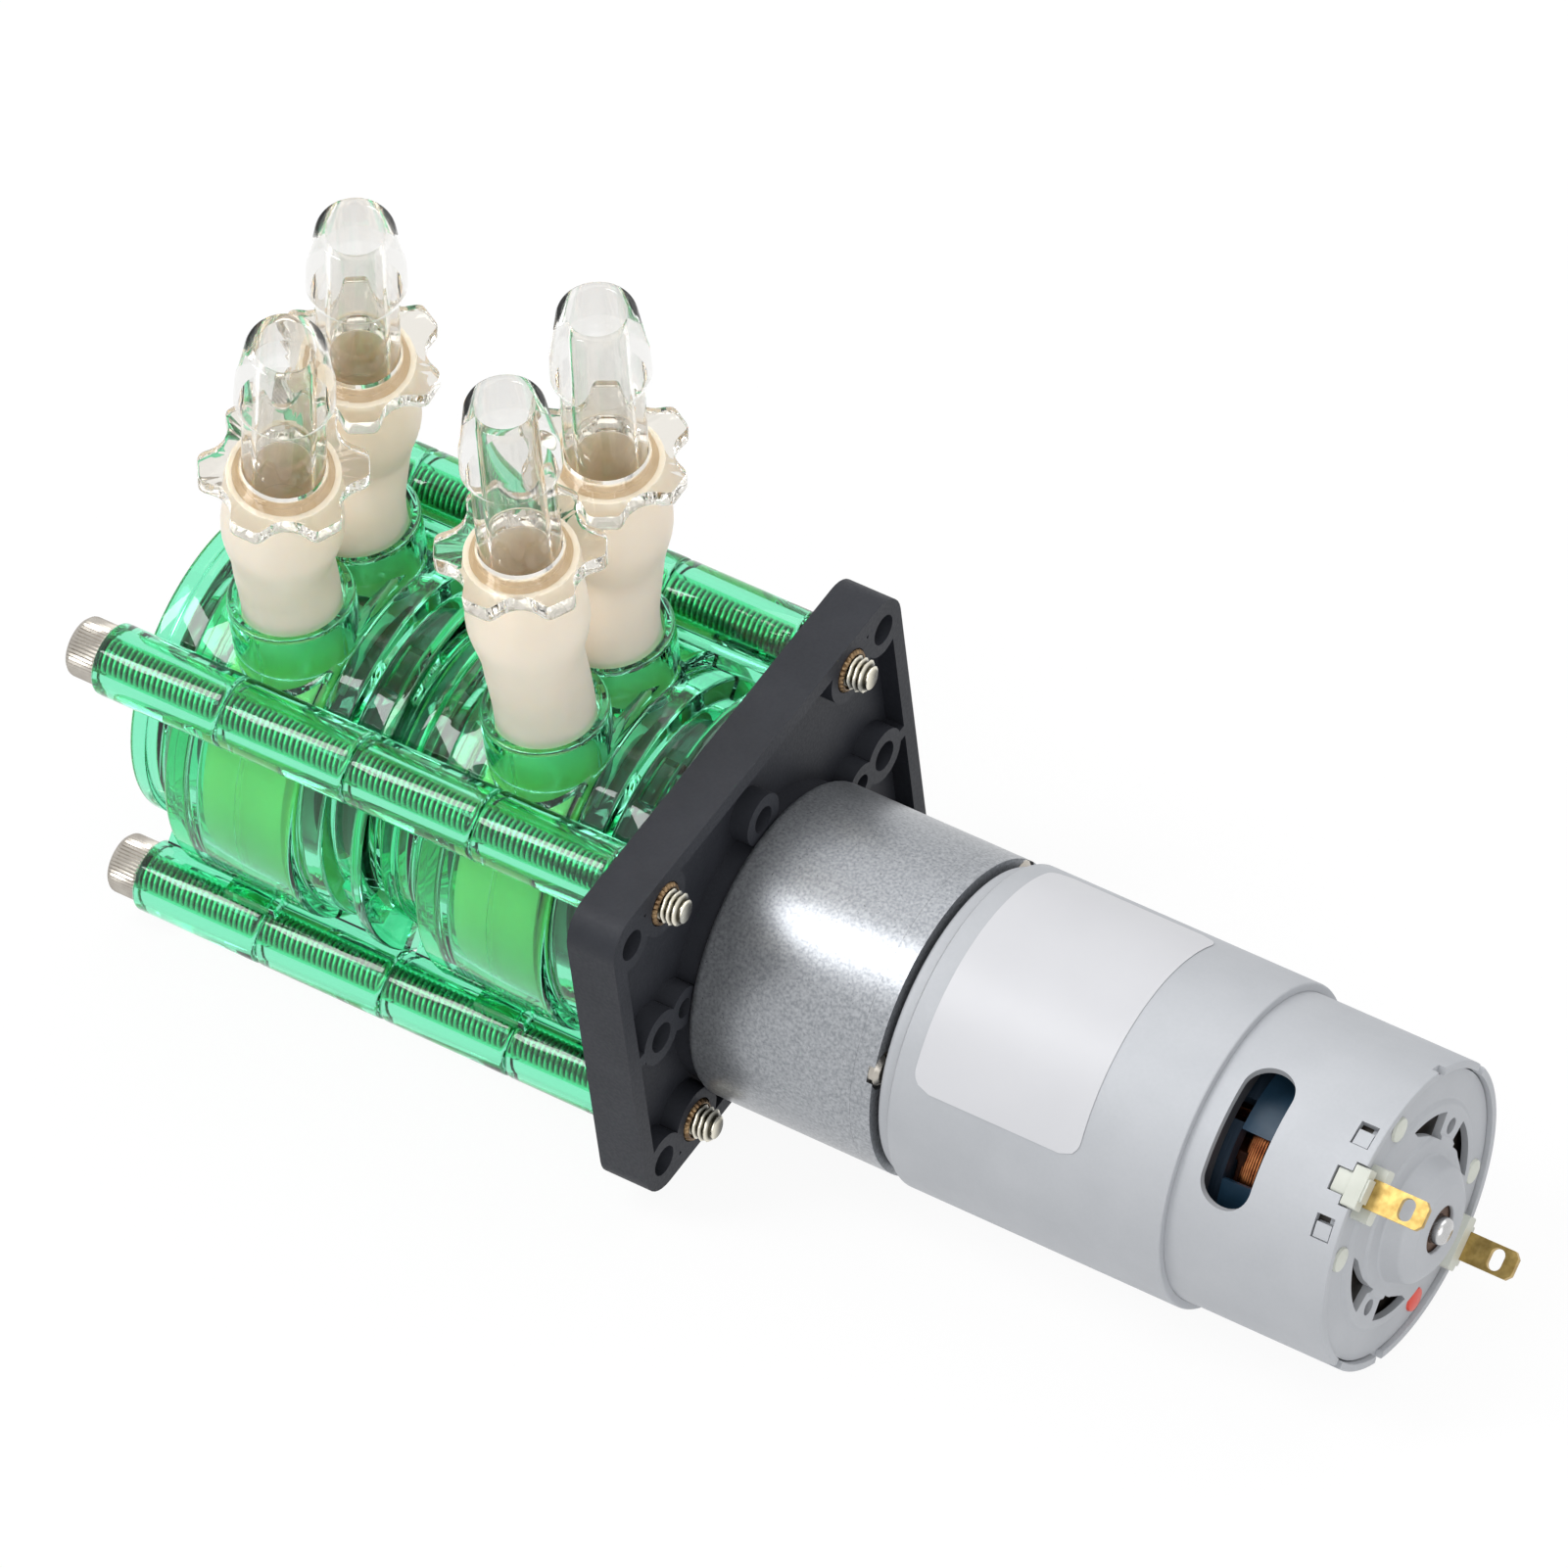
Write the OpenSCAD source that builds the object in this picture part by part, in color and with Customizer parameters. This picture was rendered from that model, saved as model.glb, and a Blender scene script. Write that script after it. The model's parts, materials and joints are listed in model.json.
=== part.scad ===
// Double-head peristaltic pump driven by a 37 mm gearmotor.
// X runs along the pump shaft towards the rear of the motor, Z is up.
// The origin is on the shaft axis, on the motor side of the mounting plate.

/* [Mounting plate] */
// Width of the plate
plate_w = 57; // [55:0.5:66]
// Height of the plate
plate_h = 45; // [43:0.5:54]
// Full thickness of the plate, rim and bosses included
plate_t = 6; // [5:0.25:8]
// Thickness of the floor between the ribs
plate_floor = 2.5; // [2.2:0.1:3.5]
// Corner radius of the outline
plate_corner = 4; // [1:0.5:6]
// Width of the raised rim
rim_w = 2; // [1.2:0.1:2.6]
// Thickness of the stiffening ribs
rib_t = 1.4; // [0.8:0.1:2]
// Wall left round each hole of a boss
boss_wall = 1.5; // [1:0.1:2]
// Distance across between the corner mounting holes
bolt_span_y = 50; // [48:0.5:51]
// Distance up between the corner mounting holes
bolt_span_z = 37; // [34:0.5:38.5]
// Diameter of the mounting holes
bolt_hole_d = 3.6; // [3:0.1:4.2]
// Distance between the two side mounting holes
side_span = 44.8; // [43:0.2:47]
// Distance between the two small pin holes beside the gearbox
pin_hole_span = 35.6; // [35:0.2:37]
// Diameter of the small pin holes
pin_hole_d = 2.4; // [1.6:0.1:3]
// Height of the single hole above the gearbox
top_hole_z = 12.9; // [12.4:0.1:14]
// Diameter of the single hole above the gearbox
top_hole_d = 3.2; // [2:0.1:3.6]

/* [Long screws] */
// Distance between the long screws, the same across and up
screw_span = 37; // [36:0.25:38]
// Thread diameter of the long screws
screw_d = 4; // [3:0.1:4.4]
// Diameter of the socket head
screw_head_d = 7; // [6:0.1:8]
// Height of the socket head
screw_head_h = 4; // [3:0.1:5]
// Width across the flats of the hexagon socket
screw_socket = 3; // [2:0.1:3.4]
// Length of thread showing behind the plate
screw_tip = 2.75; // [1:0.25:6]
// Outer diameter of the threaded brass inserts
insert_d = 5.6; // [5.4:0.1:6.4]
// Height that an insert stands above its boss
insert_stand = 0.4; // [0:0.1:1]

/* [Head shells] */
// Length of a front half-shell, seam to end
front_len = 16.5; // [16:0.25:20]
// Length of a rear half-shell, seam to end
rear_len = 16.5; // [16:0.25:20]
// Radius of the drum that holds the tube
drum_r = 22.3; // [22:0.1:23.5]
// Length of the drum in front of the seam
drum_front = 9.5; // [9:0.25:10.5]
// Length of the drum behind the seam
drum_rear = 7; // [6.8:0.1:8]
// Radius of the stepped ring behind the drum
step_r = 20.6; // [19:0.1:21.5]
// Length of the stepped ring
step_len = 3.25; // [2:0.25:3.5]
// Radius of the necks at both ends of a head
neck_r = 18; // [17.8:0.1:18.3]
// Radius of the front collar lip
collar_r = 18.6; // [18.5:0.1:20]
// Length of the front collar lip
collar_len = 2; // [1:0.25:3]
// Radius of the rear end flange
flange_r = 22.2; // [20:0.1:23]
// Thickness of the rear end flange
flange_t = 1.5; // [1:0.1:2.2]
// Outer radius of the locating spigot behind the flange
spigot_r = 17.2; // [17:0.05:17.4]
// Wall of the locating spigot
spigot_wall = 0.9; // [0.7:0.1:1]
// Length of the locating spigot
spigot_len = 1.2; // [0.8:0.1:1.6]
// Depth of the recess in the front collar
collar_depth = 3; // [2:0.25:4]
// Thickness of the end walls that carry the bushes
end_wall = 2; // [1.5:0.1:3]
// Radius of the track that backs the tube
track_r = 20.5; // [20:0.1:20.8]
// Half the width of the track
track_half = 5.75; // [5.65:0.05:6]
// Radius of the bay that the rotor discs turn in
bay_r = 16; // [15.6:0.1:16.3]
// Inner radius of the moulding groove in the drum face
groove_in = 18.9; // [18.7:0.1:19.4]
// Outer radius of the moulding groove in the drum face
groove_out = 21; // [20.4:0.1:21.3]
// Depth of the moulding groove
groove_depth = 2.5; // [1:0.25:3]

/* [Columns and clips] */
// Outer radius of the screw columns
column_r = 4.2; // [3.8:0.1:4.6]
// Chamfer at both ends of a column
column_chamfer = 0.4; // [0.2:0.05:0.8]
// Thickness of the webs between columns and drum
web_t = 1.6; // [1:0.1:2.4]
// Length of a snap tab along the column
tab_len = 6.5; // [5:0.25:8]
// Width of a snap tab
tab_w = 3; // [2.4:0.1:3.2]
// Thickness of a snap tab
tab_t = 1.5; // [1:0.1:2]
// Radius of the clip lugs on the rear neck
lug_r = 20.3; // [19:0.1:21]
// Length of the clip lugs along the axis
lug_len = 3; // [2:0.25:4]
// Angle that a clip lug spans
lug_span = 16; // [10:1:24]
// Angle of the first clip lug from the Y axis
lug_angle = 105; // [95:1:115]

/* [Tube ports] */
// Distance of a port axis from the middle
port_y = 6.4; // [6.2:0.1:7]
// Height of the port mouth above the shaft axis
port_z = 26; // [24.5:0.25:29]
// Wall of the port collar
port_wall = 1.2; // [0.8:0.1:1.6]
// Gap round the tube in its port
port_gap = 0.35; // [0.2:0.05:0.5]

/* [Pump tube] */
// Outer diameter of the pump tube
tube_od = 11.1; // [10.4:0.1:11.2]
// Wall of the pump tube
tube_wall = 1.6; // [1.2:0.1:1.8]
// Gap between the tube and what lies round it
tube_gap = 0.1; // [0.05:0.05:0.2]
// Angle from the Y axis where the tube meets its track
track_start = 44; // [40:1:50]

/* [Hose connectors] */
// Radius of the through bore
conn_bore_r = 3.2; // [2.6:0.1:3.4]
// Radius at the lip
conn_lip_r = 4.3; // [4:0.1:4.6]
// Radius of the hose barb
conn_barb_r = 5.5; // [5:0.1:6]
// Length of the cone from the lip to the barb
conn_cone = 6.6; // [5:0.2:8]
// Length of the barb's land
conn_land = 3; // [1.5:0.25:4]
// Radius of the stem between barb and flange
conn_stem_r = 4.6; // [4.2:0.1:4.9]
// Length from the flange to the lip
conn_len = 22.8; // [20:0.2:26]
// Outer radius of the lobed flange
conn_flange_r = 9.2; // [8.2:0.1:9.3]
// Thickness of the lobed flange
conn_flange_t = 2.4; // [1.6:0.1:3]
// Width of the flat end of each lobe
conn_lobe = 3.8; // [3.4:0.1:5.5]
// Length of the root that the pump tube is pushed over
conn_root = 12.5; // [10:0.5:14]
// Radius of the barb on the root
conn_root_r = 5.1; // [4.9:0.05:5.3]

/* [Rotor] */
// Radius of the rotor discs
disc_r = 14.4; // [13.8:0.1:14.8]
// Thickness of the rotor discs
disc_t = 2.5; // [2:0.1:3]
// Gap between a roller and the discs
roller_end_gap = 0.5; // [0.2:0.05:0.6]
// Radius of the rollers
roller_r = 4.75; // [4.2:0.05:4.9]
// Distance from the shaft axis to a roller's outermost line
roller_reach = 15.1; // [14.8:0.05:15.2]
// Radius of the roller pins
pin_r = 1.5; // [1.2:0.1:2]
// Radius of the hubs on the shaft
hub_r = 5.2; // [4.6:0.1:5.4]
// Diameter of the pump shaft
shaft_d = 6; // [5:0.1:6.4]
// Depth of the flat on the pump shaft
shaft_flat = 0.5; // [0.3:0.1:0.8]
// Outer radius of the shaft bushes
bush_r = 5; // [4.4:0.1:5.4]
// Wall of the bosses round the bushes
bush_boss = 2; // [1.2:0.1:2.4]
// Length of a bush
bush_len = 4; // [3:0.25:4.5]
// Gap between the rotor and the front bush
bush_play = 0.85; // [0.4:0.05:1.2]

/* [Gearbox] */
// Diameter of the gearbox
gearbox_d = 37; // [36.6:0.1:38]
// Length of the gearbox housing, cover not counted
gearbox_len = 21; // [20.5:0.25:24]
// Thickness of the gearbox cover
cover_t = 2.5; // [2:0.1:3]
// Radius of the rounded front edge
gearbox_round = 1; // [0.5:0.1:4]
// Side wall of the gearbox housing
gearbox_wall = 1.5; // [1:0.1:1.6]
// Front wall of the gearbox housing
gearbox_front = 2.5; // [2:0.1:3]
// Distance that the motor axis lies below the shaft axis
axis_drop = 7; // [6.8:0.1:7.2]
// Radius of the output boss that passes through the plate
nose_r = 6; // [5.6:0.1:6.6]
// Length of the output boss
nose_len = 5; // [3:0.25:5.5]
// Diameter of the circle of gearbox screws
gearbox_pcd = 31; // [30.6:0.1:31.4]
// Thread diameter of the gearbox screws
gearbox_screw_d = 3; // [2.5:0.1:3.4]
// Wall round the screws and pins inside the gearbox
gearbox_boss = 1.2; // [0.8:0.1:1.4]
// Outer diameter of the bushes of the output shaft
output_bush_d = 9; // [8:0.1:9.6]
// Thread diameter of the cover screws
cover_screw_d = 2.5; // [2:0.1:2.8]
// Diameter of the heads of the cover screws
cover_head_d = 4; // [3.4:0.1:4.4]
// Height of the heads of the cover screws
cover_head_h = 1.1; // [0.8:0.1:1.4]
// Height that those heads stand proud of the cover
cover_head_proud = 0.35; // [0.1:0.05:0.4]
// Distance of the cover screws from the rim of the cover
cover_screw_in = 2.1; // [2:0.1:2.4]

/* [Gears] */
// Module of the two motor-side stages
module_fine = 0.4; // [0.38:0.005:0.4]
// Module of the output stage
module_coarse = 0.5; // [0.48:0.005:0.5]
// Teeth on each small gear
small_teeth = 12; // [12:1:13]
// Teeth on the two large intermediate gears
large_teeth = 32; // [30:1:33]
// Teeth on the output gear
output_teeth = 36; // [34:1:36]
// Direction of the second idler from the output shaft
idler_angle = -48.6; // [-52:0.2:-46]
// Play between two meshing teeth
backlash = 0.08; // [0.05:0.01:0.12]
// Radius of the gear pins
gear_pin_r = 1; // [0.8:0.05:1.1]
// Thickness of the large intermediate gears
large_face = 2.5; // [2:0.1:2.6]
// Thickness of the output gear
output_face = 4; // [3:0.1:4.4]

/* [Motor] */
// Diameter of the motor can
can_d = 35.8; // [35:0.1:36.2]
// Length of the motor can
can_len = 55.9; // [55:0.1:60]
// Radius of the rounded front edge of the can
can_round = 1; // [0.6:0.1:1.4]
// Sheet thickness of the motor can
can_wall = 1; // [0.8:0.1:1.2]
// Gap between the gearbox cover and the motor can
motor_gap = 0.6; // [0.5:0.1:1.5]
// Length of the can in front of the flux ring
shoulder_len = 1.4; // [1.1:0.1:3]
// Length of the flux ring
flux_len = 34.8; // [30:0.2:36]
// Sheet thickness of the flux ring
flux_t = 1; // [0.6:0.1:1.2]
// Diameter of the motor shaft
motor_shaft_d = 3.2; // [3:0.1:3.3]
// Radius of the armature core
core_r = 13.2; // [12.6:0.1:13.4]
// Length of the armature core
core_len = 22; // [18:0.5:24]
// Radius of the commutator
comm_r = 4.5; // [4:0.1:5]
// Length of the commutator
comm_len = 8; // [6.5:0.25:8.5]
// Distance from the end plate's face to the front of the commutator
comm_back = 10.5; // [10:0.25:11.5]
// Distance from the core to the front of the commutator
comm_gap = 5.6; // [4.8:0.1:8]
// Thickness of the magnets
magnet_t = 3; // [2.6:0.1:3.1]
// Angle that a magnet spans
magnet_span = 136; // [110:1:150]
// Distance from the magnets to the vent slot
magnet_gap = 0.7; // [0.4:0.1:4]
// Width of a brush
brush_w = 3; // [2:0.1:3.6]
// Length of a brush
brush_len = 7; // [5:0.25:7.5]
// Wall of a brush holder
holder_wall = 0.9; // [0.6:0.1:1.2]
// Distance from the can's rear edge to the vent slot
slot_back = 11.4; // [10:0.2:12]
// Width of the vent slot
slot_w = 5.4; // [4:0.2:6]
// First angle of the vent slot
slot_from = 95; // [90:1:110]
// Last angle of the vent slot
slot_to = 146.5; // [130:0.5:150]
// Depth of the end plate below the can's rear edge
end_sink = 0.4; // [0.2:0.1:1]
// Thickness of the end plate
end_t = 1.4; // [1:0.1:1.8]
// Width of the terminal lugs
lug_w = 3.2; // [2.4:0.1:3.6]
// Thickness of the terminal lugs
lug_t = 0.8; // [0.5:0.1:1]
// Length of the terminal lugs behind the can
lug_out = 8; // [6:0.25:10]
// Distance of the lugs from the motor axis
lug_radius = 15.4; // [15:0.1:15.8]
// Diameter of the hole in a lug
lug_hole_d = 1.8; // [1:0.1:2.2]
// Width of the insulator under a lug
insulator_w = 6.4; // [5:0.1:7]
// Thickness of the insulator under a lug
insulator_t = 1.6; // [1.3:0.1:2]
// Width of the insulator's stem in the can's notch
insulator_stem = 2.3; // [1.8:0.1:2.4]
// Height that the insulators stand proud of the can
insulator_proud = 1.1; // [0.6:0.1:1.5]
// Distance of the rivets from the motor axis
rivet_radius = 14.2; // [13.9:0.1:14.5]
// Diameter of the rivets
rivet_d = 2.4; // [1.6:0.1:2.6]
// Radius of the bearing boss on the end plate
end_boss_r = 7.2; // [6.4:0.1:7.6]
// Length of the bearing boss on the end plate
end_boss_len = 4.4; // [3.5:0.1:5]
// Inner radius of the crescent vents
vent_in = 8.2; // [7.9:0.1:9]
// Outer radius of the crescent vents
vent_out = 11; // [10:0.1:11.6]
// Angle that each crescent vent spans
vent_span = 42; // [20:1:44]
// Outer diameter of the bushes of the motor shaft
motor_bush_d = 7.2; // [6:0.1:7.6]
// Outer diameter of the nose that carries the front motor bush
motor_nose_d = 12; // [10:0.1:14]

/* [Fits] */
// Radial running clearance of shafts, pins and gears
run_fit = 0.04; // [0.02:0.01:0.08]
// Radial clearance of parts that are pressed or glued together
seat_fit = 0.02; // [0.01:0.01:0.04]
// Gap round a screw in a through hole
screw_gap = 0.15; // [0.1:0.05:0.3]
// Gap between mating shells at their spigots
spigot_gap = 0.2; // [0.1:0.05:0.3]

/* [Hidden] */
$fn = 96;
eps = 0.01;

// Places along the shaft
seam_1 = -plate_t - rear_len;
seam_2 = seam_1 - front_len - rear_len;
stack_end = seam_2 - front_len;
cover_x = gearbox_len;
motor_x = cover_x + cover_t + motor_gap;
can_end = motor_x + can_len;
end_x = can_end - end_sink;

// Corners of the square of long screws, and of the mounting holes
corners = [for (y = [-1, 1], z = [-1, 1]) [y, z]];
screw_r = screw_d / 2;
column_hole_r = screw_r + screw_gap;

// Radii and lengths inside a head
shaft_r = shaft_d / 2;
shaft_bore = shaft_r + run_fit;
roller_half = track_half - tube_gap;
disc_in = roller_half + roller_end_gap;
disc_out = disc_in + disc_t;
orbit_r = roller_reach - roller_r;
roller_angles = [90, 210, 330];
hub_gap = 0.3;
port_r = tube_od / 2 + port_gap;
front_bush_x = disc_out + bush_play;
front_wall_in = front_len - collar_depth - end_wall;
rear_wall_in = rear_len - flange_t - end_wall;
tube_r = tube_od / 2;
tube_inner = roller_reach + 0.4;
tube_outer = track_r - 2 * tube_gap;

// Gear train: the motor axis, the second idler and the first idler in the YZ plane
motor_c = [0, -axis_drop];
fine_c = module_fine * (small_teeth + large_teeth) / 2;
coarse_c = module_coarse * (small_teeth + output_teeth) / 2;
idler_2 = polar(coarse_c, idler_angle);
idler_1 = meeting(idler_2, motor_c, fine_c);
output_gear_x = gearbox_front + 3.5;
idler_2_x = output_gear_x + output_face + 2;
idler_1_x = idler_2_x + large_face + 1.5;
tooth_over = 0.5;
pressure = 20;
addendum = 0.8;
dedendum = 1.05;

// Motor insides
can_r = can_d / 2;
can_in = can_r - can_wall;
comm_x = end_x - comm_back;
core_x = comm_x - comm_gap - core_len;
core_hub = comm_r + 0.5;
arm_w = 4;
winding_over = 3;
motor_nose_len = can_wall + 2;
notch_depth = 2.1;
stem_angle = 2 * asin((insulator_stem / 2 + 0.15) / can_in);
slot_x = can_end - slot_back - slot_w / 2;
magnet_end = slot_x - slot_w / 2 - magnet_gap;
holder_x = end_x - end_t - 1.6;
brush_x = comm_x + 2.2;
brush_t = 3;
lug_angles = [121, 301];
rivet_angles = [90, 152, 270, 332];
rivet_r = rivet_d / 2;
gearbox_screw_angles = [30, 150, 210, 330];
cover_screw_angles = [34, 154, 250];
cover_screw_radius = gearbox_d / 2 - cover_screw_in;
cover_screw_r = cover_screw_d / 2;
cover_head_r = cover_head_d / 2;
cover_head_x = cover_x + cover_t - cover_head_h + cover_head_proud;
cover_screw_len = 6;
output_bush_r = output_bush_d / 2;
motor_bush_r = motor_bush_d / 2;
motor_nose_r = motor_nose_d / 2;

// Hose ends: offset from the seam, distance from the middle and height of the tube's end,
// with the lean of the connector backwards and sideways in degrees
ends_1 = [[1.7, -8.5, 53.1, 2, 0], [1.2, 8.5, 50.9, 3.5, 0]];
ends_2 = [[3.4, -8.2, 48.9, 10.5, 3], [1.7, 8.9, 49, 8.5, 3]];
brush_angles = [31, 211];
pole_angles = [0:72:288];
lug_stand = 1.6;
lug_len_out = lug_out - lug_stand;
tube_sides = 16;
ring_step = 9;

function polar(r, a) = [r * cos(a), r * sin(a)];
function mix(a, b, t) = a * (1 - t) + b * t;
function unit(v) = v / norm(v);

// Lower point that lies at the distance r from both p and q
function meeting(p, q, r) =
    let (d = q - p, h = sqrt(r * r - d * d / 4), n = unit([-d[1], d[0]]))
    (p + q) / 2 + h * n * (n[1] < 0 ? 1 : -1);

// Cubic curve with its first and last handles
function curve(a, b, c, d, t) =
    pow(1 - t, 3) * a + 3 * pow(1 - t, 2) * t * b + 3 * (1 - t) * t * t * c + t * t * t * d;

// Involute roll angle from the base radius rb out to the radius r
function roll(rb, r) = let (t = sqrt(max(0, r * r / (rb * rb) - 1))) t * 180 / PI - atan(t);

// Outline of a spur gear with its first tooth on the first axis
function gear_outline(teeth, m) =
    let (
        rp = teeth * m / 2,
        rb = rp * cos(pressure),
        ra = rp + addendum * m,
        rf = rp - dedendum * m,
        half = 90 / teeth - backlash / 4 / rp * 180 / PI + roll(rb, rp),
        r0 = max(rb, rf),
        radii = [for (i = [0:3]) mix(r0, ra, i / 3)],
        foot = rf < rb ? [rf] : [],
        up = [for (r = concat(foot, radii)) [r, half - roll(rb, r)]]
    )
    [for (k = [0:teeth - 1], i = [0:2 * len(up) - 1])
        let (j = i < len(up) ? i : 2 * len(up) - 1 - i, s = i < len(up) ? -1 : 1)
        polar(up[j][0], 360 * k / teeth + s * up[j][1])];

// Turn that puts a tooth, or a gap, of the gear at "from" towards the point "to"
function facing(from, to) = atan2(to[1] - from[1], to[0] - from[0]);
function gap_turn(teeth) = 180 / teeth;

module along_x(x = 0) translate([x, 0, 0]) rotate([90, 0, 90]) children();
module rod(r, x0, x1) along_x(x0) cylinder(r = r, h = x1 - x0);
module pipe(r_out, r_in, x0, x1) {
    difference() {
        rod(r_out, x0, x1);
        rod(r_in, x0 - 1, x1 + 1);
    }
}
// Solid turned about the X axis from a list of [x, radius] points
module turned(points) along_x() rotate_extrude() polygon([for (p = points) [p[1], p[0]]]);
module at(p) translate([0, p[0], p[1]]) children();
module on_motor_axis() at(motor_c) children();
module at_corners(span_y, span_z) {
    for (c = corners) at([c[0] * span_y / 2, c[1] * span_z / 2]) children();
}
module around(angles) {
    for (a = angles) rotate([a, 0, 0]) children();
}
// Flat wedge between two angles, less than a half turn apart
module wedge(r, a0, a1) {
    mid = (a0 + a1) / 2;
    reach = 2 * r;
    polygon([[0, 0], polar(reach, a0), polar(reach / cos((a1 - a0) / 2), mid), polar(reach, a1)]);
}
// Part of a ring between two radii, two angles and two places along X
module ring_part(r_in, r_out, a0, a1, x0, x1) {
    intersection() {
        pipe(r_out, r_in, x0, x1);
        along_x(x0 - eps) linear_extrude(x1 - x0 + 2 * eps) wedge(r_out, a0, a1);
    }
}
module rounded_plate(w, h, r, t) {
    linear_extrude(t) union() {
        square([w - 2 * r, h], center = true);
        square([w, h - 2 * r], center = true);
        for (c = corners) translate([c[0] * (w / 2 - r), c[1] * (h / 2 - r)]) circle(r);
    }
}

module mounting_plate() {
    inner_w = plate_w - 2 * rim_w;
    inner_h = plate_h - 2 * rim_w;
    inner_corner = max(plate_corner - rim_w, 0.5);
    ring_r = gearbox_d / 2 + 0.4;
    color([0.16, 0.17, 0.19])
    difference() {
        intersection() {
            along_x(-plate_t) rounded_plate(plate_w, plate_h, plate_corner, plate_t);
            union() {
                along_x(-plate_t) rounded_plate(plate_w, plate_h, plate_corner, plate_floor);
                difference() {
                    along_x(-plate_t) rounded_plate(plate_w, plate_h, plate_corner, plate_t);
                    along_x(-plate_t - 1) rounded_plate(inner_w, inner_h, inner_corner, plate_t + 2);
                }
                at_corners(bolt_span_y, bolt_span_z) rod(bolt_hole_d / 2 + boss_wall, -plate_t, 0);
                at_corners(screw_span, screw_span) rod(insert_d / 2 + boss_wall * 0.7, -plate_t, 0);
                for (s = [-1, 1]) {
                    at([s * side_span / 2, 0]) rod(bolt_hole_d / 2 + boss_wall, -plate_t, 0);
                    at([s * pin_hole_span / 2, 0]) rod(pin_hole_d / 2 + boss_wall, -plate_t, 0);
                    translate([-plate_t, s * screw_span / 2 - rib_t / 2, -plate_h / 2 + eps])
                        cube([plate_t, rib_t, plate_h - 2 * eps]);
                }
                at([0, top_hole_z]) rod(top_hole_d / 2 + boss_wall, -plate_t, 0);
                on_motor_axis() {
                    pipe(ring_r + rib_t, ring_r, -plate_t, 0);
                    rod(gearbox_d / 2 - gearbox_round, -plate_t, 0);
                    around(gearbox_screw_angles)
                        at([gearbox_pcd / 2, 0]) rod(gearbox_screw_d / 2 + boss_wall, -plate_t, 0);
                }
            }
        }
        rod(nose_r + seat_fit, -plate_t - 1, 1);
        at_corners(bolt_span_y, bolt_span_z) rod(bolt_hole_d / 2, -plate_t - 1, 1);
        at_corners(screw_span, screw_span) {
            rod(column_hole_r, -plate_t - 1, 1);
            rod(insert_d / 2 + seat_fit, -plate_t + 1.5, 1);
        }
        for (s = [-1, 1]) {
            at([s * side_span / 2, 0]) rod(bolt_hole_d / 2, -plate_t - 1, 1);
            at([s * pin_hole_span / 2, 0]) rod(pin_hole_d / 2, -plate_t + 1, 1);
        }
        at([0, top_hole_z]) rod(top_hole_d / 2, -plate_t + 1, 1);
        pipe(spigot_r + spigot_gap, spigot_r - spigot_wall - spigot_gap,
            -plate_t - 1, -plate_t + spigot_len + spigot_gap);
        on_motor_axis() around(gearbox_screw_angles) at([gearbox_pcd / 2, 0]) gearbox_screw(seat_fit, 1);
    }
}

module plate_inserts() {
    color("goldenrod")
    at_corners(screw_span, screw_span)
        pipe(insert_d / 2, screw_r + seat_fit, -plate_t + 1.5, insert_stand);
}

module head_screws() {
    knurls = 30;
    head_r = screw_head_d / 2;
    rim = 0.3;
    color("silver")
    at_corners(screw_span, screw_span) {
        rod(screw_r, stack_end - eps, screw_tip);
        difference() {
            union() {
                along_x(stack_end - screw_head_h + rim)
                    linear_extrude(screw_head_h - rim)
                    polygon([for (i = [0:2 * knurls - 1])
                        polar(head_r - (i % 2) * 0.15, 180 * i / knurls)]);
                turned([[stack_end - screw_head_h, 0], [stack_end - screw_head_h, head_r - 2 * rim],
                    [stack_end - screw_head_h + rim, head_r - rim], [stack_end - screw_head_h + rim, 0]]);
            }
            along_x(stack_end - screw_head_h - 1)
                cylinder(r = screw_socket / sqrt(3), h = screw_head_h * 0.6 + 1, $fn = 6);
        }
    }
}

// Screw column with chamfered ends
module column(x0, x1) {
    c = column_chamfer;
    turned([[x0, 0], [x0, column_r - c], [x0 + c, column_r], [x1 - c, column_r],
        [x1, column_r - c], [x1, 0]]);
}
module columns_and_webs(x0, x1) {
    reach = screw_span / 2 * sqrt(2);
    at_corners(screw_span, screw_span) column(x0, x1);
    for (a = [45:90:315])
        rotate([a, 0, 0]) translate([x0 + 1, groove_out - 4, -web_t / 2])
            cube([x1 - x0 - 2, reach - groove_out + 2, web_t]);
}
// Half of the two port collars, on one side of the seam
module port_collars(side) {
    r = port_r + port_wall;
    intersection() {
        for (s = [-1, 1]) translate([0, s * port_y, bay_r - 1]) cylinder(r = r, h = port_z - bay_r + 1);
        translate([side < 0 ? -2 * r : 0, -3 * r, 0]) cube([2 * r, 6 * r, port_z]);
    }
}
module shell_cuts(x0, x1, wall_in) {
    at_corners(screw_span, screw_span) rod(column_hole_r, x0 - 2, x1 + 2);
    rod(track_r, -track_half, track_half);
    rod(bay_r, x0 < 0 ? -wall_in : 0, x0 < 0 ? 0 : wall_in);
    for (s = [-1, 1]) translate([0, s * port_y, 8]) {
        cylinder(r = port_r, h = port_z);
        cylinder(r = port_r + port_wall * 2 / 3, h = drum_r - 11);
    }
}

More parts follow.
